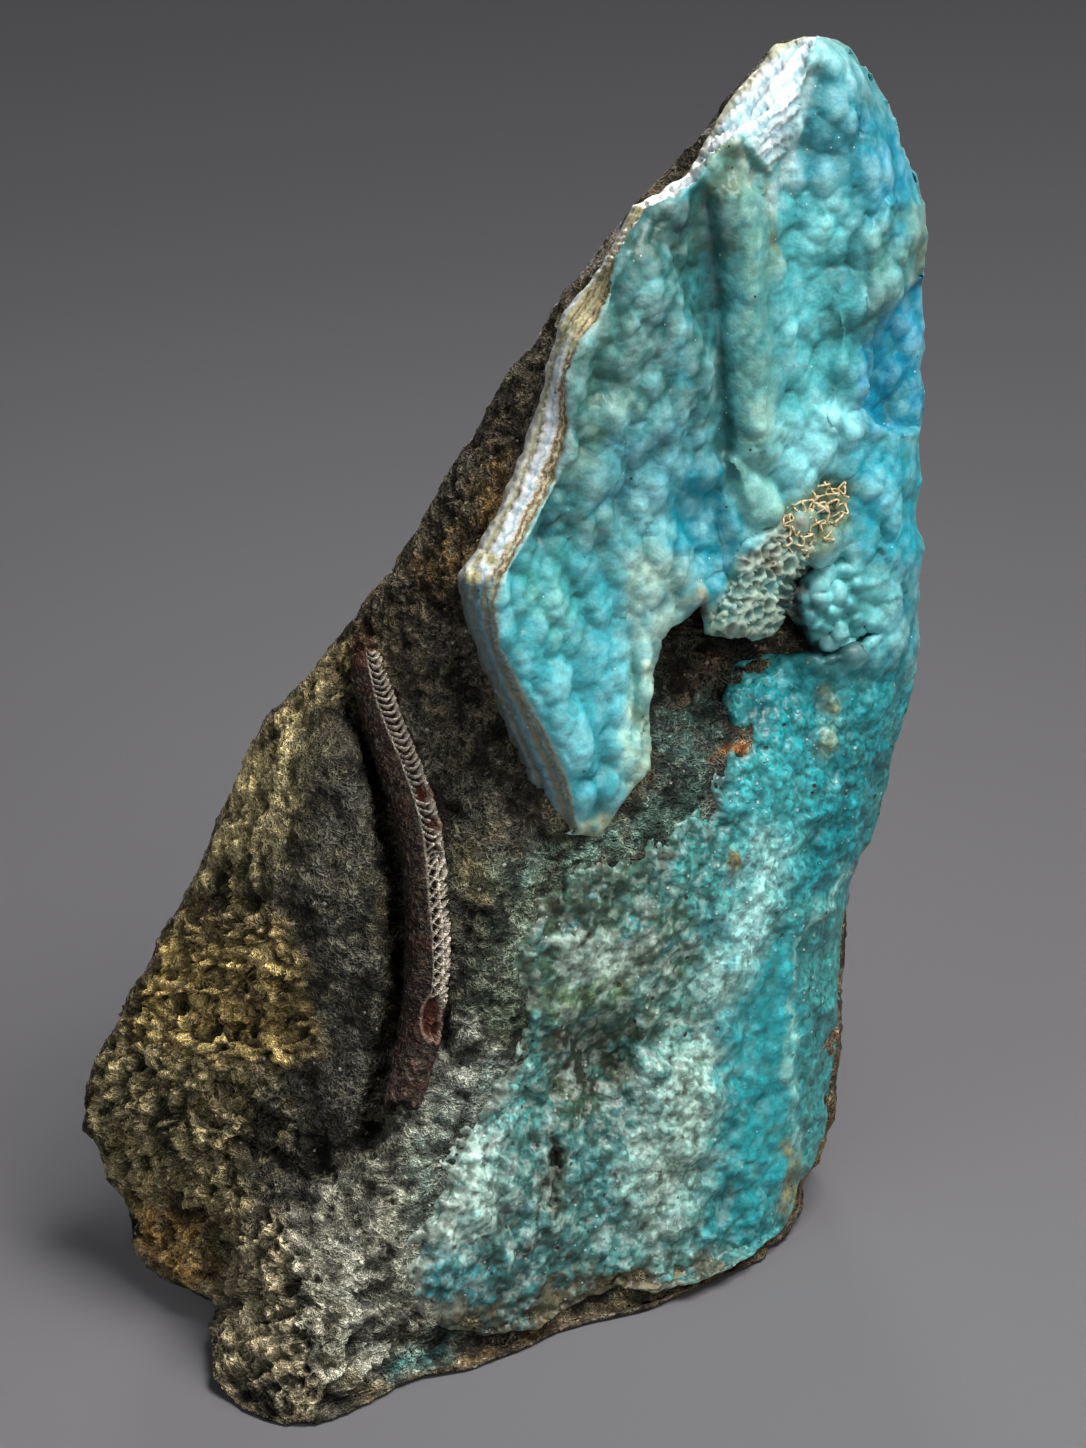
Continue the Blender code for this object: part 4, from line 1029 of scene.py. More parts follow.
# Where the crust's lumps are large, smooth, open work, hollow, sugary or chalky
LEFT_LOBES = [
    (600, 262), (705, 210), (716, 400), (730, 470), (668, 500), (560, 560), (510, 540), (566, 350),
]
BAR = [(728, 200), (768, 200), (776, 300), (776, 420), (738, 430), (728, 330)]
BOXWORK = [
    (744, 556), (768, 536), (792, 528), (816, 540), (808, 566), (796, 594), (786, 640), (706, 638),
    (716, 606), (735, 580),
]
KNOB_HOLLOW = [
    (780, 600), (790, 580), (806, 566), (812, 578), (798, 600), (806, 630), (834, 648), (862, 640),
    (866, 652), (838, 664), (808, 660), (786, 642),
]
SAGE_LOBE = [(720, 448), (742, 458), (768, 480), (790, 510), (775, 536), (746, 526), (734, 500)]
SUGAR = [
    (735, 670), (900, 660), (870, 860), (800, 930), (700, 1000), (560, 1000), (530, 900),
    (640, 830),
]
CHALK = [
    (400, 1180), (500, 1060), (560, 1010), (720, 1040), (760, 1180), (690, 1290), (500, 1340),
    (400, 1290),
]


FACE_NORMAL = np.array([0.60, -0.74, 0.30])
LOBE_SIZE, LUMP_SIZE, BEAD_SIZE, GRAIN_SIZE, BOX_SIZE = 56.0, 26.0, 13.5, 6.0, 12.0


def bump_of(gap, reach):
    """A rounded lump: 1 at its centre, and 0 where it meets the next."""
    return np.clip(1.0 - (gap / reach) ** 2, 0.0, 1.0)


def add_lumps(x, y, points):
    """Round lumps of several sizes, grown side by side, and a boxwork of thin walls."""
    share = plate_share(x, y)
    sheet = 1.0 - share
    pressed = points - 0.45 * (points @ FACE_NORMAL)[:, None] * FACE_NORMAL
    pressed = warped(pressed, 4.0, 36.0) * np.array([1.0, 1.0, 0.72])
    lobes = area(LEFT_LOBES, 22.0, x, y)
    bar = area(BAR, 10.0, x, y)
    sugar = area(SUGAR, 26.0, x, y) * sheet
    chalk = area(CHALK, 24.0, x, y) * sheet
    box = area(BOXWORK, 6.0, x, y)
    groove = stroke(PLATE_LINES[1][0], 13.0, x, y)
    free = smooth((fracture_across(x, y)[0] - 0.92) / 0.2) * (1.0 - 0.75 * groove)
    free *= 0.3 + 0.7 * smooth(from_outline(x, y) / 30.0)
    free *= 1.0 - 0.6 * area(SAGE_LOBE, 8.0, x, y)
    knob = np.zeros(x.shape)
    for px, py, radius, _ in KNOB:
        knob = np.maximum(knob, smooth(1.25 - np.hypot(x - px, y - py) / radius))
    plain = share * (1.0 - 0.85 * bar) * (1.0 - box)
    big, _, big_own = cells(pressed, LOBE_SIZE, 5)
    rise = (11.0 + 12.0 * lobes) * plain * (bump_of(big, 0.88) - 0.55) * (0.6 + 0.8 * big_own)
    middle, _, own = cells(pressed, LUMP_SIZE, 6)
    middle = bump_of(middle, 0.88)
    weight = 9.0 * plain + 2.0 * bar * share + 5.0 * sheet
    rise += weight * (middle - 0.55) * (0.3 + 1.4 * own)
    small, _, own = cells(warped(points, 2.0, 14.0), BEAD_SIZE, 7)
    small = bump_of(small, 0.84)
    varied = smooth(0.55 + 1.8 * fractal(points + 200.0, 55.0, 2))
    weight = ((0.5 + 1.7 * varied) * share + 3.2 * sugar + 3.6 * chalk) * (1.0 - box)
    rise += weight * (small - 0.5) * (0.3 + 1.4 * own)
    tiny, _, own = cells(points, GRAIN_SIZE, 8)
    weight = 0.7 * share + 1.3 * sugar + 1.3 * chalk + 0.6 * knob
    rise += weight * (bump_of(tiny, 0.9) - 0.5) * (0.5 + own)
    wall, next_wall, own = cells(warped(points, 3.0, 11.0), BOX_SIZE, 31)
    ridge = smooth(1.0 - (next_wall - wall) / 0.30)
    rise += box * (4.5 * ridge - 3.5 * smooth(own * 2.0 - 0.4) * (1.0 - ridge))
    rise *= free * (1.0 - 0.8 * knob)
    rise += sheet * 6.0 * fractal(warped(points, 8.0, 40.0), 46.0, 3, 0.8)
    near_rim = 1.0 - smooth(depth_inside(rim_line, x, y) / 60.0)
    frayed = sheet * near_rim * smooth((790.0 - x) / 40.0)
    rise += frayed * 7.0 * fractal(points + 411.0, 18.0, 4, 0.5)
    return rise, ridge * box, 0.3 * bump_of(big, 0.88) + 0.45 * middle + 0.25 * small, knob


# The broken edge's layers, from the stone's outline to the face: (where, step); and their colours
FRACTURE_STEPS = [
    (0.10, 2.4), (0.25, -3.0), (0.32, 2.6), (0.55, -1.2), (0.70, -3.4), (0.755, 3.0), (0.83, -3.6),
    (0.90, 4.2),
]
BANDS = [  # where the crust is thick
    (0.00, (206, 206, 196)), (0.10, (226, 228, 222)), (0.20, (208, 208, 190)),
    (0.26, (150, 148, 108)), (0.30, (214, 214, 196)), (0.36, (238, 240, 238)),
    (0.47, (226, 236, 240)), (0.53, (166, 196, 210)), (0.58, (228, 236, 238)),
    (0.66, (214, 214, 200)), (0.70, (122, 94, 54)), (0.745, (196, 184, 148)),
    (0.79, (210, 204, 178)), (0.83, (112, 84, 46)), (0.875, (176, 166, 126)),
    (0.92, (168, 196, 184)), (1.0, (120, 176, 176)),
]
AGED_BANDS = [  # higher up, where they are thin and stained
    (0.0, (170, 196, 204)), (0.16, (214, 222, 220)), (0.24, (176, 168, 124)),
    (0.30, (206, 204, 178)), (0.37, (126, 106, 62)), (0.43, (192, 186, 152)),
    (0.50, (138, 122, 72)), (0.56, (206, 202, 172)), (0.63, (152, 146, 96)),
    (0.69, (198, 192, 156)), (0.76, (112, 84, 46)), (0.82, (196, 186, 146)), (0.88, (122, 98, 54)),
    (0.93, (180, 190, 160)), (1.0, (110, 160, 150)),
]
LOW_BANDS = [  # down the peninsula's side
    (0.0, (112, 112, 98)), (0.15, (96, 124, 130)), (0.30, (128, 132, 118)), (0.42, (98, 136, 146)),
    (0.55, (116, 150, 158)), (0.66, (134, 124, 92)), (0.74, (110, 152, 160)),
    (0.86, (176, 176, 144)), (0.93, (204, 200, 166)), (1.0, (140, 196, 192)),
]


def fracture_bands(x, y, points):
    """The place across the broken edge, bent about by noise, and the fibres of the crest."""
    across = fracture_across(x, y)[0]
    wobble = 0.085 * fractal(points, 34.0, 2) + 0.05 * fractal(points, 8.0, 2)
    rows = np.stack([(x + y) * 0.7, (y - x) * 0.09, 0.0 * x], -1)
    return across, across + wobble * smooth((1.1 - across) * 4.0), fractal(rows, 6.0, 3, 0.5)


def fracture_relief(x, y, points):
    """The broken edge: layers that stand out from each other along it, and a fibrous crest."""
    across, bent, fibre = fracture_bands(x, y, points)
    on_edge = smooth((1.06 - across) * 9.0)
    crest = smooth((200.0 - y) / 24.0)
    rise = 1.8 * fractal(points, 11.0, 4, 0.5) + 1.2 * fractal(points, 4.0, 2) + 5.0 * crest * fibre
    for at, step in FRACTURE_STEPS:
        rise += (1.0 - 0.8 * crest) * step * smooth(0.5 + (bent - at) / 0.05)
    return on_edge * rise


def rim_fade(x, y):
    """0 at the crust's rim and 1 a little inside it."""
    edge = depth_inside(rim_line, x, y)
    return smooth(edge / 5.0 + 0.25)


lumps, box_walls, grown, knob = add_lumps(ux, uy, crust_points)
broken = fracture_relief(ux, uy, crust_points)
crust_points = crust_points + crust_normals * ((lumps + broken) * rim_fade(ux, uy))[:, None]

# The crust's colours, laid on as the rock's are, and brown rosettes on its broken edge
ROSETTES = [(475, 577, 9), (492, 560, 8), (508, 548, 6), (567, 328, 7), (575, 345, 6)]
CREASE_TINT = np.array([0.60, 0.82, 0.82])
SMOOTH_BAND = [
    (720, 1010), (790, 930), (796, 1080), (796, 1160), (740, 1240), (700, 1240), (720, 1120),
]
CRUST_AREAS = [
    (LEFT_LOBES, 20, 0.85, (64, 118, 116)),
    ([(560, 330), (625, 310), (640, 400), (600, 480), (540, 500), (520, 470)], 18, 0.6,
      (104, 140, 126)),
    ([(612, 420), (700, 420), (712, 500), (640, 540), (590, 500)], 20, 0.7, (118, 190, 204)),
    ([(622, 192), (700, 195), (745, 190), (752, 265), (700, 262), (622, 258)], 14, 0.85,
      (76, 108, 100)),
    ([(640, 200), (690, 200), (690, 240), (640, 245)], 12, 0.6, (58, 88, 86)),
    ([(700, 140), (745, 134), (752, 200), (700, 198)], 10, 0.75, (128, 134, 106)),
    ([(790, 60), (880, 80), (900, 170), (850, 210), (790, 190), (776, 130)], 20, 0.7,
      (62, 156, 174)),
    ([(776, 190), (850, 200), (862, 330), (840, 420), (780, 430)], 18, 0.7, (104, 206, 212)),
    ([(765, 415), (850, 400), (872, 470), (800, 490), (770, 470)], 18, 0.7, (164, 234, 240)),
    ([(868, 120), (910, 140), (925, 210), (895, 240), (870, 210)], 16, 0.8, (52, 164, 196)),
    ([(866, 250), (890, 200), (932, 200), (932, 236), (906, 286), (868, 335)], 10, 0.85,
      (104, 160, 154)),
    ([(900, 290), (935, 276), (935, 432), (898, 436), (872, 426), (850, 412), (866, 345),
      (886, 310)], 6, 0.97, (0, 158, 194)),
    ([(846, 440), (925, 440), (925, 570), (850, 555), (846, 500)], 16, 0.75, (56, 186, 208)),
    ([(890, 560), (925, 560), (920, 660), (880, 655)], 12, 0.7, (70, 150, 166)),
    (SAGE_LOBE, 8, 0.85, (150, 206, 194)),
    ([(664, 478), (722, 468), (742, 540), (742, 590), (700, 600), (668, 560)], 16, 0.9,
      (6, 160, 182)),
    ([(500, 560), (560, 540), (650, 600), (655, 680), (640, 800), (580, 820), (520, 700),
      (480, 610)], 22, 0.85, (88, 196, 210)),
    ([(500, 560), (560, 540), (590, 600), (560, 660), (510, 630)], 20, 0.6, (88, 172, 164)),
    ([(628, 560), (690, 560), (690, 650), (655, 690), (625, 650)], 16, 0.85, (214, 236, 224)),
    ([(632, 650), (655, 665), (650, 780), (625, 810), (615, 740)], 10, 0.75, (220, 236, 214)),
    ([(786, 505), (812, 482), (852, 482), (852, 524), (824, 560), (790, 548), (770, 545)], 12, 0.75,
      (118, 134, 104)),
    (BOXWORK, 7, 0.9, (122, 162, 150)),
    ([(800, 556), (860, 550), (895, 580), (885, 640), (820, 655), (795, 620)], 10, 0.85,
      (136, 216, 218)),
    ([(735, 660), (925, 640), (885, 800), (850, 900), (770, 900), (700, 840), (720, 760)], 26, 0.8,
      (40, 152, 160)),
    ([(510, 850), (620, 830), (690, 900), (690, 990), (560, 1000), (510, 960)], 26, 0.9,
      (86, 108, 90)),
    ([(640, 780), (720, 780), (720, 900), (640, 900)], 24, 0.6, (84, 164, 158)),
    ([(720, 760), (800, 760), (800, 880), (730, 900)], 24, 0.6, (92, 196, 200)),
    ([(560, 935), (650, 935), (650, 982), (570, 985)], 10, 0.8, (206, 208, 190)),
    ([(545, 985), (625, 980), (620, 1015), (545, 1020)], 9, 0.7, (152, 164, 116)),
    ([(545, 1010), (650, 1010), (660, 1060), (610, 1120), (550, 1120)], 22, 0.85, (82, 88, 66)),
    ([(660, 1040), (720, 1040), (715, 1150), (690, 1250), (630, 1260), (620, 1180)], 20, 0.8,
      (200, 226, 214)),
    (SMOOTH_BAND, 16, 0.9, (48, 178, 186)),
    ([(800, 900), (850, 870), (840, 1040), (826, 1120), (800, 1150), (794, 1040)], 10, 0.7,
      (78, 150, 148)),
    ([(400, 1160), (500, 1130), (510, 1220), (470, 1250), (400, 1240)], 20, 0.95, (248, 252, 238)),
    ([(500, 1140), (620, 1130), (640, 1260), (560, 1300), (500, 1250)], 22, 0.7, (98, 142, 138)),
    ([(400, 1270), (470, 1250), (500, 1300), (430, 1335)], 18, 0.8, (74, 150, 156)),
    ([(470, 1240), (560, 1230), (560, 1310), (500, 1335)], 18, 0.7, (66, 118, 118)),
    ([(590, 1240), (700, 1225), (720, 1262), (600, 1292)], 14, 0.6, (96, 172, 172)),
]
CRUST_STROKES = [
    ([(741, 160), (750, 220), (756, 300), (757, 400), (758, 450)], 20, 0.8, (152, 194, 180)),
    ([(768, 152), (772, 210), (776, 268)], 6, 0.65, (160, 144, 96)),
    # painted shade in the groove left of the ridge
    ([(708, 200), (714, 300), (719, 400), (727, 465)], 7, 0.7, (50, 92, 94)),
    ([(926, 215), (928, 248), (915, 275)], 7, 0.7, (176, 160, 120)),
    ([(812, 60), (806, 100), (796, 140), (784, 172), (776, 205)], 9, 0.8, (222, 238, 238)),
    ([(742, 140), (752, 165), (748, 186)], 4, 0.8, (222, 218, 200)),
    ([(738, 150), (742, 180), (730, 190)], 9, 0.5, (122, 112, 80)),
    ([(812, 45), (850, 66), (884, 110)], 10, 0.4, (190, 224, 226)),
    ([(640, 560), (652, 600), (660, 640)], 12, 0.6, (206, 216, 200)),
    ([(695, 596), (703, 612)], 10, 0.95, (176, 148, 108)),
    ([(702, 604), (704, 612)], 6, 1.3, (40, 28, 20)),
    ([(770, 560), (778, 540), (800, 520)], 8, 0.7, (112, 84, 48)),
    ([(812, 500), (826, 492), (838, 500), (830, 525), (808, 545)], 7, 0.6, (186, 168, 118)),
    ([(745, 560), (760, 556), (772, 566)], 7, 0.8, (86, 62, 36)),
    ([(720, 632), (745, 634), (780, 636)], 6, 0.7, (204, 200, 172)),
    # painted shadow along the knob's left side
    ([(808, 568), (799, 582), (792, 602), (797, 626), (810, 645)], 6, 1.1, (16, 26, 24)),
    ([(812, 578), (808, 600), (814, 628), (826, 640)], 9, 0.6, (70, 130, 138)),
    ([(590, 836), (612, 822), (636, 806), (650, 782)], 13, 1.3, (240, 230, 196)),
    ([(610, 834), (632, 816), (648, 798)], 4, 0.9, (150, 122, 76)),
    ([(648, 664), (653, 700), (652, 765)], 6, 0.9, (240, 244, 220)),
    ([(770, 850), (752, 915), (736, 965), (715, 990)], 20, 0.9, (206, 246, 240)),
    ([(730, 980), (700, 1010), (660, 1010)], 16, 0.5, (150, 168, 152)),
    ([(850, 868), (822, 905), (803, 940), (787, 1000), (790, 1080), (797, 1150)], 4, 0.85,
      (170, 214, 206)),
    ([(700, 1060), (676, 1130), (656, 1200), (650, 1258)], 20, 0.6, (206, 212, 194)),
    ([(552, 1136), (553, 1168), (549, 1208)], 11, 0.6, (104, 78, 44)),
    # painted shade in the slit, inside its brown rim
    ([(552, 1136), (555, 1160), (550, 1180), (552, 1214)], 3, 1.9, (32, 22, 14)),
    ([(600, 1284), (640, 1287)], 6, 0.8, (156, 164, 92)),
    ([(718, 757), (730, 751), (744, 746)], 6, 1.2, (170, 104, 48)),
    ([(731, 860), (732, 861)], 9, 1.3, (146, 118, 66)),
    ([(731, 861), (732, 862)], 4, 1.9, (34, 26, 16)),
    ([(829, 694), (828, 706)], 9, 0.9, (214, 208, 168)),
    ([(824, 732), (826, 748)], 9, 0.8, (204, 206, 172)),
    ([(562, 1035), (580, 1060), (590, 1090)], 12, 0.7, (52, 40, 24)),
    ([(790, 1150), (797, 1180), (790, 1210)], 8, 0.8, (176, 150, 106)),
    ([(545, 880), (552, 915)], 9, 0.8, (62, 50, 34)),
]


def crust_tint():
    """The crust's colours as listed, painted shade between its lumps and painted light on their
    tops, and where its bands are.
    """
    x, y, points = ux, uy, crust_points
    share = plate_share(x, y)
    sheet = 1.0 - share
    tint = flat_tint((92, 172, 178), x.shape)
    brush(tint, sheet, (84, 160, 158))
    brush(tint, 0.5 * smooth(0.3 + 1.5 * fractal(points + 70.0, 70.0, 3, 0.7)), (70, 160, 176))
    brush(tint, 0.4 * smooth(0.1 + 1.5 * fractal(points + 470.0, 50.0, 3, 0.7)), (132, 176, 160))
    paint(tint, CRUST_AREAS, CRUST_STROKES, x, y, points)
    # painted shade in the creases between the lumps, and one colour shift over all of the crust
    crease_shade = share * (0.48 + 0.86 * grown) + sheet * (0.46 + 0.86 * grown)
    tint *= crease_shade[..., None] * CREASE_TINT
    # painted highlight on the lumps' tops
    brush(tint, 0.24 * share * smooth(grown * 2.4 - 1.2), (206, 232, 228))
    # painted light where the lumps stand out and painted shade where they sink
    tint *= (0.86 + 0.28 * smooth(0.5 + lumps / 20.0))[..., None]
    box = area(BOXWORK, 7.0, x, y)
    brush(tint, 0.55 * box_walls, (206, 210, 188))
    openings = 0.55 * box * smooth((0.2 - box_walls) * 5.0)
    brush(tint, openings * smooth(0.1 + 2.2 * fractal(points, 14.0, 2)), (84, 74, 48))
    # painted shadow in the hollow round the knob, where its balls aren't
    brush(tint, 0.85 * area(KNOB_HOLLOW, 6.0, x, y) * (1.0 - smooth(knob * 1.6)), (20, 52, 54))
    # brown hollows and specks, and sugary grains, on the thin sheet
    left = sheet * smooth((800.0 - x) / 140.0) * smooth((y - 760.0) / 60.0)
    clump = fractal(warped(points, 6.0, 16.0), 18.0, 4, 0.5)
    brush(tint, 0.45 * left * smooth(2.4 * clump), (190, 206, 194))
    brush(tint, 0.65 * left * smooth(-0.15 - 2.4 * clump), (58, 66, 48))
    spot, _, own = cells(warped(points, 5.0, 12.0), 14.0, 41)
    brush(tint, 0.85 * left * (own > 0.62) * smooth(1.5 - spot / 0.24), (58, 46, 26))
    _, _, own = cells(points, 6.5, 43)
    tint *= (1.0 + sheet * 0.5 * (own - 0.5))[..., None]
    # the thin sheet fades into the rock at its rim
    ground = ground_tint(x, y, points)
    rim = depth_inside(rim_line, x, y) + 30.0 * fractal(points + 33.0, 34.0, 4, 0.6)
    fade = sheet * (1.0 - smooth((rim - 4.0) / 30.0)) * smooth((760.0 - x) / 60.0)
    tint += 0.9 * fade[..., None] * (ground - tint)
    across, bent, fibre = fracture_bands(x, y, points)
    band = flat_tint((196, 222, 228), x.shape)
    crest = smooth((196.0 - y) / 16.0)
    brush(band, smooth(0.35 + 2.4 * fibre), (242, 248, 248))
    brush(band, 0.7 * smooth(-0.1 - 2.6 * fibre), (150, 198, 212))
    brush(band, 0.8 * smooth((0.22 - bent) / 0.12), (196, 190, 146))
    rosette = np.zeros(x.shape)
    for px, py, radius in ROSETTES:
        gap = np.hypot(x - px, y - py)
        ring = 0.5 + 0.5 * np.cos(gap * 2.0 * math.pi / 5.0)
        cover = smooth((radius - gap) / 2.0)
        brush(band, cover, (216, 210, 172))
        brush(band, 0.7 * cover * (1.0 - ring), (146, 146, 84))
        rosette = np.maximum(rosette, cover)
    edge = smooth((1.03 - across) * (12.0 - 8.0 * crest)) * smooth((842.0 - y) / 6.0) * share
    tint += edge[..., None] * (band - tint)
    aged = smooth((372.0 - y) / 50.0) * smooth((y - 185.0) / 20.0)
    return tint, bent, edge * (1.0 - crest) * (1.0 - rosette), aged, smooth((y - 572.0) / 12.0)


EDGE_VALUES = ("across", "banded", "aged", "low")


def crust_tints(face, rim):
    """Colours of the face, of the plain back, and of the rim's levels between them."""
    back = flat_tint((150, 140, 112), face.shape[:1])
    pale = flat_tint((196, 196, 176), face[rim].shape[:1])
    walls = []
    for t in RIM_LEVELS:
        wall = face[rim] + t * (pale - face[rim])
        stripe = 0.5 + 0.5 * np.sin(t * 19.0 + 2.0 * fractal(crust_points[rim], 30.0, 2))
        walls.append(wall * (0.7 + 0.4 * stripe)[:, None])
    return np.concatenate([face, back, *walls])


def over_all(face, back, level):
    """One array of the values on the face, on the back and on each level between them."""
    return np.concatenate([face, np.full(len(face), back)] + [level] * len(RIM_LEVELS))


def crust_mesh():
    """The front, the rim with a few levels, and a plain back, as one closed mesh."""
    count = len(ux)
    back = place(ux, uy, np.minimum(crust_bed(ux, uy), crust_front(ux, uy) - CRUST_SIDE))
    rim = np.nonzero(on_rim[used])[0]
    points = [crust_points, back]
    levels = [np.arange(count)]
    for n, t in enumerate(RIM_LEVELS):
        level = crust_points[rim] * (1 - t) + back[rim] * t
        push = 2.2 * fractal(level, 16.0, 3) + 1.5 * math.sin(n * 2.1)
        number = np.full(count, -1)
        number[rim] = 2 * count + n * len(rim) + np.arange(len(rim))
        levels.append(number)
        points.append(level + push[:, None] * np.array([0.5, 0.3, 0.4]))
    levels.append(np.arange(count) + count)
    a = crust_number[:-1, :-1][crust_cells]
    b = crust_number[:-1, 1:][crust_cells]
    c = crust_number[1:, 1:][crust_cells]
    d = crust_number[1:, :-1][crust_cells]
    faces = [np.stack([a, b, c, d], -1), np.stack([d, c, b, a], -1) + count]
    padded = np.pad(crust_cells, 1)
    sides = [
        (padded[:-2, 1:-1], a, b), (padded[1:-1, 2:], b, c),
        (padded[2:, 1:-1], c, d), (padded[1:-1, :-2], d, a),
    ]
    for neighbour, start, end in sides:
        bare = ~neighbour[crust_cells]
        for upper, lower in zip(levels, levels[1:]):
            quad = [upper[start[bare]], upper[end[bare]], lower[end[bare]], lower[start[bare]]]
            faces.append(np.stack(quad, -1))
    face_tint, *edge_values = crust_tint()
    grain = (1.0 - plate_share(ux, uy)) * (1.0 - 0.8 * area(SMOOTH_BAND, 20.0, ux, uy))
    tints = {
        "tint": crust_tints(face_tint, rim),
        "grain": over_all(grain, 0.5, np.full(len(rim), 0.3)),
    }
    for label, values in zip(EDGE_VALUES, edge_values):
        tints[label] = over_all(values, 0.0, values[rim])
    made = mesh_object("crust", np.concatenate(points), faces, tints)
    group = made.vertex_groups.new(name="Back")
    group.add(list(range(count, 2 * count)), 1.0, "REPLACE")
    whole = sum(2 * len(block) for block in faces)
    collapse = made.modifiers.new("Plain back", "DECIMATE")
    collapse.ratio = (whole - 2 * crust_cells.sum() + CRUST_BACK_FACES) / whole
    collapse.vertex_group = "Back"
    bpy.context.view_layer.update()
    thinned = made.evaluated_get(bpy.context.evaluated_depsgraph_get())
    thinned = bpy.data.meshes.new_from_object(thinned)
    made.modifiers.clear()
    made.data = thinned
    return made


def band_ramp(tree, value, table):
    node = add_node(tree, "ValToRGB", {0: value})
    stops = node.color_ramp.elements
    stops[0].color, stops[1].color = ((*linear(*table[k][1]), 1.0) for k in (0, -1))
    for at, colour in table[1:-1]:
        stops.new(at).color = (*linear(*colour), 1.0)
    return node.outputs["Color"]


def crust_material():
    """Waxy blue hemimorphite that lets a little light in, sugary where its grain is 1."""
    material, tree, shader = new_material("crust")
    at, grain = object_space(tree), attribute(tree, "grain")
    across, banded, aged, low = (attribute(tree, name) for name in EDGE_VALUES)
    cloud, fine = soft_noise(tree, at, 900.0, 4.0), soft_noise(tree, at, 3200.0, 3.0)
    _, facet = random_dots(tree, at, 2200.0)
    bent = plus(tree, across, ramp(tree, fine, 0.2, 0.8, -0.03, 0.03))
    bands = mixed(tree, aged, band_ramp(tree, bent, BANDS), band_ramp(tree, bent, AGED_BANDS))
    bands = mixed(tree, low, bands, band_ramp(tree, bent, LOW_BANDS))
    tint = mixed(tree, banded, attribute(tree, "tint", "Color"), bands)
    value = ramp(tree, cloud, 0.3, 0.7, 0.84, 1.08)
    value = plus(tree, value, ramp(tree, fine, 0.3, 0.7, -0.08, 0.1))
    sugary = times(tree, calc(tree, "SUBTRACT", facet, 0.5), times(tree, grain, 0.75))
    colour = shaded(tree, tint, grey(tree, plus(tree, value, sugary)))
    dots = use_group(tree, specks, Scale=420.0, Size=0.075, Share=0.30)["Mask"]
    colour = mixed(tree, dots, colour, (0.016, 0.03, 0.028, 1.0))
    pits = use_group(tree, specks, Scale=620.0, Size=0.2, Share=0.22)["Mask"]
    pits = times(tree, pits, grain)
    colour = mixed(tree, pits, colour, (0.045, 0.035, 0.015, 1.0))
    # pale sugary grains, partly painted sparkle
    sugar = use_group(tree, specks, Scale=1000.0, Size=0.24, Share=0.2)["Mask"]
    sugar = times(tree, sugar, grain)
    colour = mixed(tree, times(tree, sugar, 0.55), colour, (0.78, 0.86, 0.82, 1.0))
    glint = use_group(tree, specks, Scale=1300.0, Size=0.15, Share=0.07)["Mask"]
    colour = mixed(tree, times(tree, glint, 0.7), colour, (0.85, 0.93, 0.92, 1.0))
    height = plus(tree, times(tree, fine, 0.5), times(tree, cloud, 0.5))
    height = plus(tree, height, times(tree, facet, grain))
    height = plus(tree, height, times(tree, calc(tree, "SUBTRACT", sugar, pits), 1.5))
    fill(tree, shader, {
        "Base Color": colour, "Roughness": ramp(tree, grain, 0.0, 1.0, 0.46, 0.36),
        "Subsurface Weight": 0.25, "Subsurface Radius": (0.4, 0.9, 1.0),
        "Subsurface Scale": 0.0007, "Coat Weight": 0.06, "Coat Roughness": 0.25,
        "Normal": bumps(tree, height, 0.00014, 0.8),
    })
    return material


crust = crust_mesh()
crust.data.materials.append(crust_material())
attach(crust, "root")
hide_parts("hemimorphite_crust")

# The oxide tube
#
# A hollow, rust-brown tube of iron oxide, grown round something long gone and lying in a channel of
# the rock. A net of thin pale ribs crosses its right side, and its lower end is broken open.

TUBE = [
    (366, 655, 15), (371, 676, 19), (379, 702, 21.5), (390, 735, 22), (402, 770, 22.5),
    (414, 805, 22.5), (424, 845, 23), (429, 900, 23), (429, 950, 22.5), (425, 1000, 22),
    (418, 1045, 21), (408, 1082, 20), (401, 1108, 17),
]
TUBE_RISE = 3.0
RUNG_PITCH = 13.0
TUBE_ROUND = 96
TUBE_RINGS = 420
LATTICE_START, NET_END, MAUVE_START = 200.0, 362.0, 395.0  # distances down the tube
SLANT_LENGTH = 34.0
# Rings beyond the tube's ends, the second ones down its bore: (distance outwards, size)
TUBE_TOP = [(4.0, 0.35), (3.0, 0.75)]
BORE = [(1.0, 0.9), (2.0, 0.72), (-6.0, 0.62), (-12.0, 0.55), (-20.0, 0.46), (-26.0, 0.42)]
TUBE_BREAKS = [  # distance down the tube, angle round it, half length, half width as an angle
    (152.0, 0.85, 9.0, 0.36), (182.0, 0.98, 6.0, 0.26), (366.0, 0.46, 19.0, 0.44),
    (382.0, 0.98, 9.0, 0.26),
]


def smoothed(values, reach):
    padded = np.pad(values, reach, mode="reflect", reflect_type="odd")
    return np.convolve(padded, np.ones(2 * reach + 1) / (2 * reach + 1), mode="valid")


def tube_axis():
    """Centres, radii and rows of the tube: the solid's own axis, read at more points."""
    x, y, radius = np.array(TUBE, float).T
    run = np.r_[0, np.cumsum(np.hypot(np.diff(x), np.diff(y)))]
    coarse = np.linspace(0, run[-1], 2 * int(run[-1] / RUNG_PITCH) + 1)
    x, y, radius = (smoothed(np.interp(coarse, run, values), 3) for values in (x, y, radius))
    depth = smoothed(rock_front_plate(x, y), 9) + TUBE_RISE
    fine = np.linspace(0, run[-1], TUBE_RINGS)
    x, y, radius, depth = (smoothed(np.interp(fine, coarse, v), 6) for v in (x, y, radius, depth))
    return place(x, y, depth), radius, fine


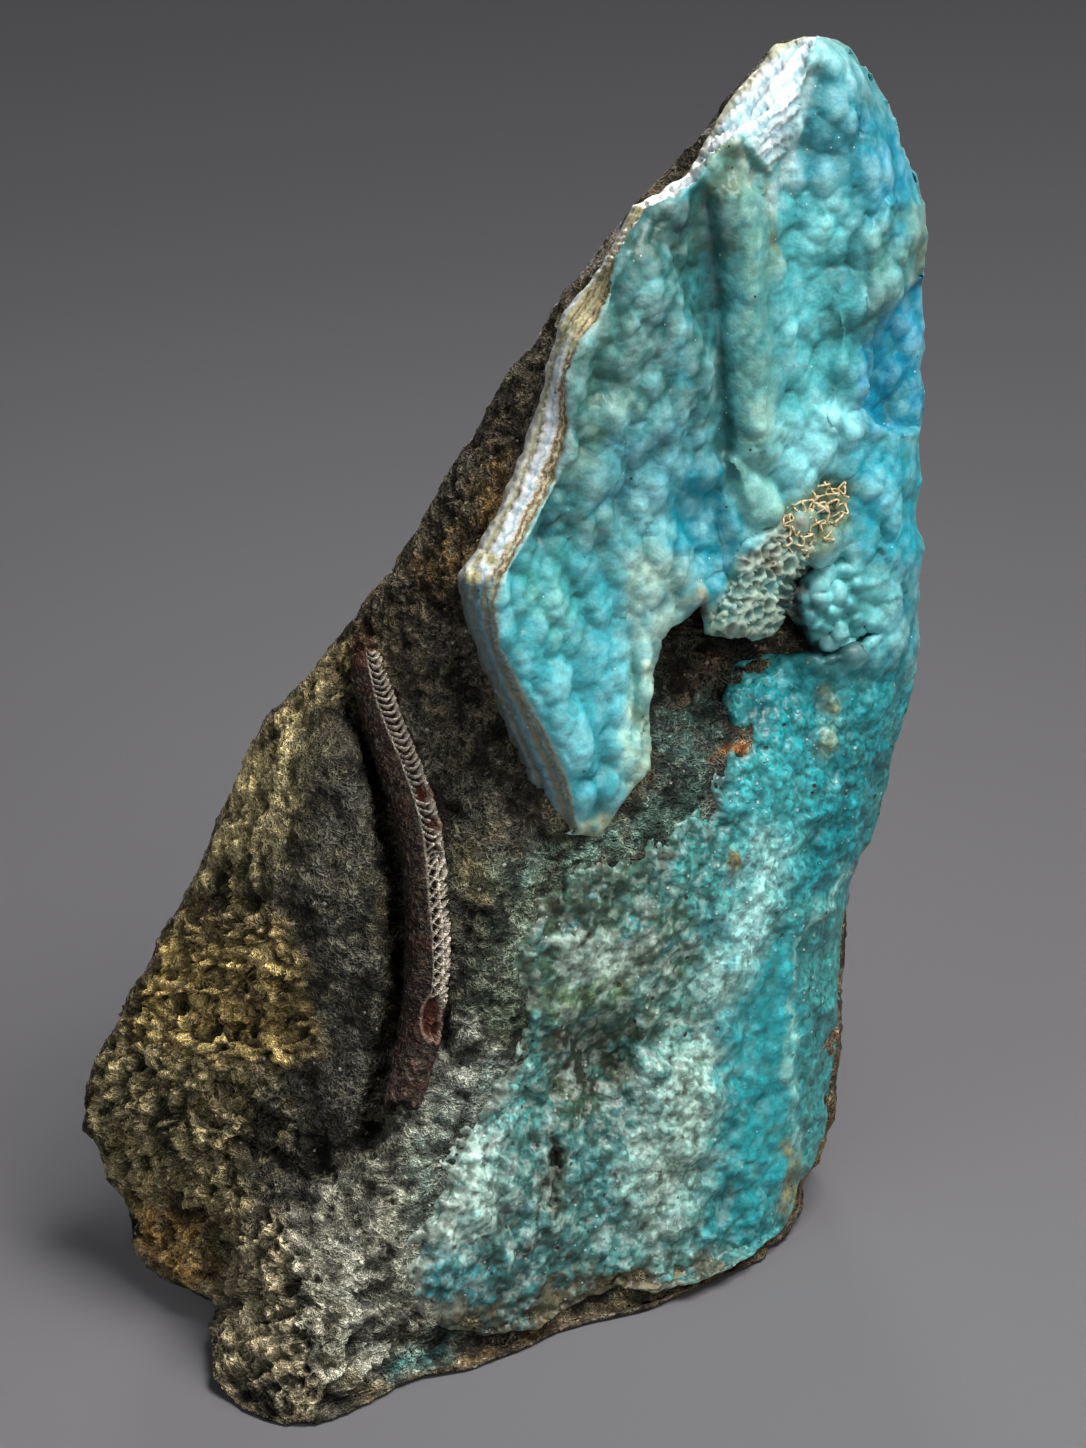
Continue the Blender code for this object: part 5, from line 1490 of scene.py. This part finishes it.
def tube_frame(centres):
    along = np.gradient(centres, axis=0)
    along /= np.linalg.norm(along, axis=1, keepdims=True)
    right = np.cross(along, (0.0, 1.0, 0.0))
    right *= np.sign(right[:, :1])
    right /= np.linalg.norm(right, axis=1, keepdims=True)
    front = np.cross(right, along)
    front *= -np.sign(front[:, 1:2])
    return along, right, front


def spokes(turn, front, right):
    """Directions round a path, for each of its points and each turn."""
    turn = turn[None, :, None]
    return np.cos(turn) * front[:, None] + np.sin(turn) * right[:, None]


centres, radii, run = tube_axis()
along, right, front = tube_frame(centres)
turn = np.linspace(0, 2 * math.pi, TUBE_ROUND, endpoint=False)
ring_at = run[:, None] + 0.0 * turn
around = np.where(turn > math.pi, turn - 2 * math.pi, turn)[None, :] + 0.0 * ring_at
outwards = spokes(turn, front, right)
tube_points = centres[:, None] + outwards * radii[:, None, None]
# The net runs down the right side: bowed rungs with holes between them, then a lattice with a spine
SIDE_LINE = 0.64
off_side = around - SIDE_LINE + 0.10 * np.sin(ring_at / 31.0)
rough_run = ring_at + 2.2 * fractal(tube_points, 26.0, 3) + 0.8 * fractal(tube_points, 7.0, 2)
net_band = smooth((0.52 - np.abs(off_side)) / 0.09) * smooth((ring_at + 2.0) / 6.0)
net_band *= smooth((NET_END - ring_at) / 12.0)
lower = smooth((ring_at - LATTICE_START) / 20.0)
bow = 9.0 * (1.0 - (off_side / 0.5) ** 2)
rung = np.abs((((rough_run - bow) / (7.4 + 1.6 * lower)) % 1.0) - 0.5) * 2.0
cross = np.abs((((rough_run + 26.0 * off_side) / 12.0) % 1.0) - 0.5) * 2.0
rungs = smooth((rung - 0.56) / 0.24)
lattice = smooth((np.maximum(rung * 0.96, cross) - 0.68) / 0.2)
spine = np.exp(-((off_side / 0.07) ** 2)) * lower
rails = smooth(1.0 - np.abs(np.abs(off_side) - 0.46) / 0.10)
rib = np.maximum.reduce([rungs * (1.0 - lower), lattice * lower, spine, rails * 0.8])
breaks, lips = np.zeros(ring_at.shape), np.zeros(ring_at.shape)
for at_ring, at_turn, long, wide in TUBE_BREAKS:
    off = np.hypot((rough_run - at_ring) / long, (around - at_turn) / wide)
    breaks = np.maximum(breaks, smooth(2.6 - 2.0 * off))
    lips = np.maximum(lips, np.exp(-(((off - 1.25) / 0.14) ** 2)))
rib = rib * (1.0 - breaks)
net = net_band * rib
hole = np.maximum(net_band * (1.0 - rib), breaks)
tube_rise = 2.2 * net - 5.5 * hole - 3.5 * breaks
scaly = 1.5 * fractal(tube_points, 13.0, 3, 0.6) + 0.7 * fractal(tube_points, 4.0, 2)
tube_rise += scaly * (1.0 - 0.7 * net)
tube_points = tube_points + outwards * tube_rise[..., None]
# The lower end is broken off at a slant, higher in front, so that its hollow shows
jagged = 9.0 * np.cos(turn)[None, :] + 2.5 * np.sin(turn * 5.0 + 1.0)[None, :]
slant_cut = smooth((ring_at - run[-1] + SLANT_LENGTH) / SLANT_LENGTH) * jagged
tube_points = tube_points - along[:, None] * slant_cut[..., None]


def shrunk_rings(end, direction, table):
    """An end ring of the tube again, moved outwards and made smaller by each row of a table."""
    arms = tube_points[end] - centres[end]
    return [centres[end] + arms * share + direction * onward for onward, share in table]


top_cap = shrunk_rings(0, -along[0], TUBE_TOP)
all_rings = np.concatenate([top_cap, tube_points, shrunk_rings(-1, along[-1], BORE)])


def tube_tint():
    """Dark brown, rusty in places, mauve-grey at its lower end, with pale ribs, and painted shade
    in its holes.
    """
    tint = flat_tint((30, 20, 13), ring_at.shape)
    brush(tint, 0.55 * smooth(0.1 + 1.8 * fractal(tube_points, 12.0, 4, 0.4)), (70, 56, 43))
    low_end = 0.6 * smooth((ring_at - MAUVE_START) / 30.0)
    brush(tint, low_end * smooth(0.3 + 2.0 * fractal(tube_points + 40.0, 9.0, 3)), (112, 92, 84))
    brush(tint, 0.5 * smooth(-0.1 + 1.8 * fractal(tube_points + 90.0, 18.0, 3, 0.5)), (58, 28, 15))
    brush(tint, 0.4 * smooth((24.0 - ring_at) / 12.0), (84, 46, 30))
    brush(tint, 0.65 * lips, (178, 148, 128))
    brush(tint, 0.97 * net, (226, 214, 196))
    # painted shade in the holes of the net and of the breaks
    brush(tint, 0.97 * hole, (20, 11, 8))
    brush(tint, 0.6 * breaks, (84, 30, 14))
    return tint


# the bore is painted darker than the outside, and near black at its far end, as painted shade
TOP_COLOUR, BORE_COLOUR, BORE_END_SHADE = (80, 44, 33), (24, 14, 11), (14, 9, 7)
tube_colours = np.concatenate([
    flat_tint(TOP_COLOUR, (len(TUBE_TOP) * TUBE_ROUND,)), tube_tint().reshape(-1, 3),
    flat_tint(BORE_COLOUR, (len(BORE) * TUBE_ROUND,)), [linear(*TOP_COLOUR), linear(*BORE_END_SHADE)],
])
tube = closed_rings("tube", all_rings, {"tint": tube_colours})


def tube_material():
    """Dull oxide with pale scratches of the same curly fibres as the rock."""
    material, tree, shader = new_material("tube")
    tint = attribute(tree, "tint", "Color")
    fine = use_group(tree, fibres, Scale=1000.0, Width=0.1)
    dark = shaded(tree, tint, grey(tree, ramp(tree, fine["Height"], 0.3, 1.0, 0.6, 1.15)))
    pale = shaded(tree, tint, (2.0, 2.0, 1.9, 1.0))
    pale = mixed(tree, 0.12, pale, (0.36, 0.31, 0.25, 1.0))
    fill(tree, shader, {
        "Base Color": mixed(tree, times(tree, fine["Lines"], 0.7), dark, pale),
        "Roughness": 0.5, "Specular IOR Level": 0.3,
        "Normal": bumps(tree, fine["Height"], 0.0003, 0.9),
    })
    return material


tube.data.materials.append(tube_material())
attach(tube, "root")
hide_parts("oxide_tube")

# The boxwork's strands
#
# Thin, curly, golden strands that stand a little off the crust, over its boxwork. They are far too
# thin to be solids of their own.

STRAND_AREA = [
    (786, 508), (806, 488), (828, 480), (852, 484), (852, 512), (838, 540), (818, 560), (796, 556),
    (776, 545),
]
STRAND_PITCH, STRAND_REACH = 8.5, 13.5
STRAND_SIDES, STRAND_STEPS = 6, 9


def strand_knots():
    """Knots in rows, each moved at random: pixel and height above the crust."""
    rows, columns = np.arange(470, 580, STRAND_PITCH), np.arange(770, 870, STRAND_PITCH)
    rows, columns = np.meshgrid(rows, columns, indexing="ij")
    chance = hashed(np.stack([rows, columns, rows * 0.0], -1), 51)
    x = (columns + (chance[..., 0] - 0.5) * 8.0).ravel()
    y = (rows + (chance[..., 1] - 0.5) * 8.0).ravel()
    kept = inside(STRAND_AREA, x, y)
    return x[kept], y[kept], (1.0 + 6.5 * chance[..., 2].ravel()[kept])


def strand(path, radii):
    """Rings round a path. strand_mesh closes each end with a face."""
    along = np.gradient(path, axis=0)
    along /= np.linalg.norm(along, axis=1, keepdims=True)
    side = np.cross(along, (0.31, -0.80, 0.51))
    side /= np.linalg.norm(side, axis=1, keepdims=True)
    up = np.cross(side, along)
    turn = np.arange(STRAND_SIDES) / STRAND_SIDES * 2.0 * math.pi
    rings = path[:, None] + radii[:, None, None] * spokes(turn, side, up)
    return rings.reshape(-1, 3)


def strand_mesh():
    x, y, height = strand_knots()
    level = crust_front(x, y)
    points, faces, count = [], [], 0
    steps = np.linspace(0.0, 1.0, STRAND_STEPS)
    arch = np.sin(steps * math.pi)
    ring = np.arange(STRAND_SIDES)
    for i in range(len(x)):
        for j in range(i + 1, len(x)):
            chance = hashed(np.array([[i, j, 7]]), 3)[0]
            if math.hypot(x[i] - x[j], y[i] - y[j]) > STRAND_REACH or chance[0] < 0.5:
                continue
            px = x[i] + (x[j] - x[i]) * steps + (chance[1] - 0.5) * 14.0 * arch
            py = y[i] + (y[j] - y[i]) * steps + (chance[2] - 0.5) * 14.0 * arch
            deep = level[i] + height[i] + (level[j] + height[j] - level[i] - height[i]) * steps
            radii = 1.0 + 0.5 * chance[1] - 0.35 * arch
            points.append(strand(place(px, py, deep - 1.5 * (chance[0] - 0.6) * arch), radii))
            faces.append(grid_faces(STRAND_STEPS, STRAND_SIDES) + count)
            last = count + (STRAND_STEPS - 1) * STRAND_SIDES
            faces.append(np.array([ring + count, ring + last]))
            count += STRAND_STEPS * STRAND_SIDES
    return mesh_object("strands", np.concatenate(points), faces)


def strand_material():
    material, tree, shader = new_material("strands")
    grain = ramp(tree, soft_noise(tree, object_space(tree), 2600.0, 2.0), 0.35, 0.65)
    colour = mixed(tree, grain, (0.36, 0.26, 0.11, 1.0), (0.78, 0.66, 0.42, 1.0))
    fill(tree, shader, {"Base Color": colour, "Roughness": 0.55})
    return material


strands = strand_mesh()
strands.data.materials.append(strand_material())
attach(strands, "root")

# The stage
#
# A plain grey floor that curves up behind, a soft key from the upper right, weak fills in front,
# on the left and behind, and a camera at the photograph's angle. None of it belongs to the stone.

FLOOR_HALF = 6.0
FLOOR_DROP = 0.0002  # keeps the floor clear of the stone's flat underside
SWEEP_AT, SWEEP_RADIUS, SWEEP_HEIGHT, SWEEP_STEPS = 0.9, 0.4, 1.6, 16


def make_floor():
    profile = [(-FLOOR_HALF, 0.0), (SWEEP_AT, 0.0)]
    for k in range(1, SWEEP_STEPS + 1):
        t = k / SWEEP_STEPS * math.pi / 2
        profile.append((SWEEP_AT + SWEEP_RADIUS * math.sin(t), SWEEP_RADIUS * (1 - math.cos(t))))
    profile.append((SWEEP_AT + SWEEP_RADIUS, SWEEP_HEIGHT))
    points = [(side * FLOOR_HALF, y, z) for y, z in profile for side in (-1, 1)]
    faces = [(2 * k, 2 * k + 1, 2 * k + 3, 2 * k + 2) for k in range(len(profile) - 1)]
    mesh = bpy.data.meshes.new("floor")
    mesh.from_pydata(points, [], faces)
    mesh.shade_smooth()
    made = bpy.data.objects.new("floor", mesh)
    bpy.context.collection.objects.link(made)
    made.location.z = -FLOOR_DROP
    return made


floor = make_floor()
floor_paint, floor_tree, floor_shader = new_material("floor paint")
fill(floor_tree, floor_shader, {"Base Color": (0.160, 0.158, 0.170, 1.0), "Roughness": 0.9})
floor.data.materials.append(floor_paint)


def area_light(name, at, target, size, power, colour, spread=180.0):
    light = bpy.data.lights.new(name, "AREA")
    light.size = size
    light.energy = power
    light.color = colour
    light.spread = math.radians(spread)
    made = bpy.data.objects.new(name, light)
    made.location = at
    made.rotation_euler = (Vector(target) - Vector(at)).to_track_quat("-Z", "Y").to_euler()
    bpy.context.collection.objects.link(made)
    return made


area_light("key", (0.20, -0.12, 0.53), (0, 0, 0.05), 0.30, 3.9, (1.0, 0.98, 0.96))
area_light("front fill", (0.36, -0.50, 0.28), (0, 0, 0.06), 0.3, 1.1, (1.0, 0.99, 0.97))
area_light("left fill", (-0.36, -0.46, 0.36), (0, 0, 0.07), 0.3, 0.7, (0.95, 0.97, 1.0))
back_fill = area_light("back fill", (-0.06, 0.52, 0.14), (0, 0, 0.07), 0.15, 0.05, (1, 1, 1), 26.0)
back_fill.visible_camera = False
world = bpy.data.worlds.new("studio")
world.use_nodes = True
sky = world.node_tree.nodes["Background"]
fill(world.node_tree, sky, {"Color": (0.8, 0.85, 0.9, 1.0), "Strength": 0.035})
bpy.context.scene.world = world

SENSOR = 36.0
PHOTO_HEIGHT = 1448.0
camera = bpy.data.objects.new("camera", bpy.data.cameras.new("camera"))
bpy.context.collection.objects.link(camera)
camera.location = (
    -ORIGIN[0] * PIXEL,
    (-VIEW_DISTANCE * math.cos(VIEW_TILT) - ORIGIN[1]) * PIXEL,
    (VIEW_DISTANCE * math.sin(VIEW_TILT) - ORIGIN[2]) * PIXEL,
)
camera.rotation_euler = (math.pi / 2 - VIEW_TILT, 0.0, 0.0)
camera.data.sensor_width = SENSOR
camera.data.lens = SENSOR * VIEW_DISTANCE / PHOTO_HEIGHT
camera.data.clip_start = 0.01
camera.data.clip_end = 10.0
bpy.context.scene.camera = camera
bpy.context.scene.view_settings.view_transform = "Standard"
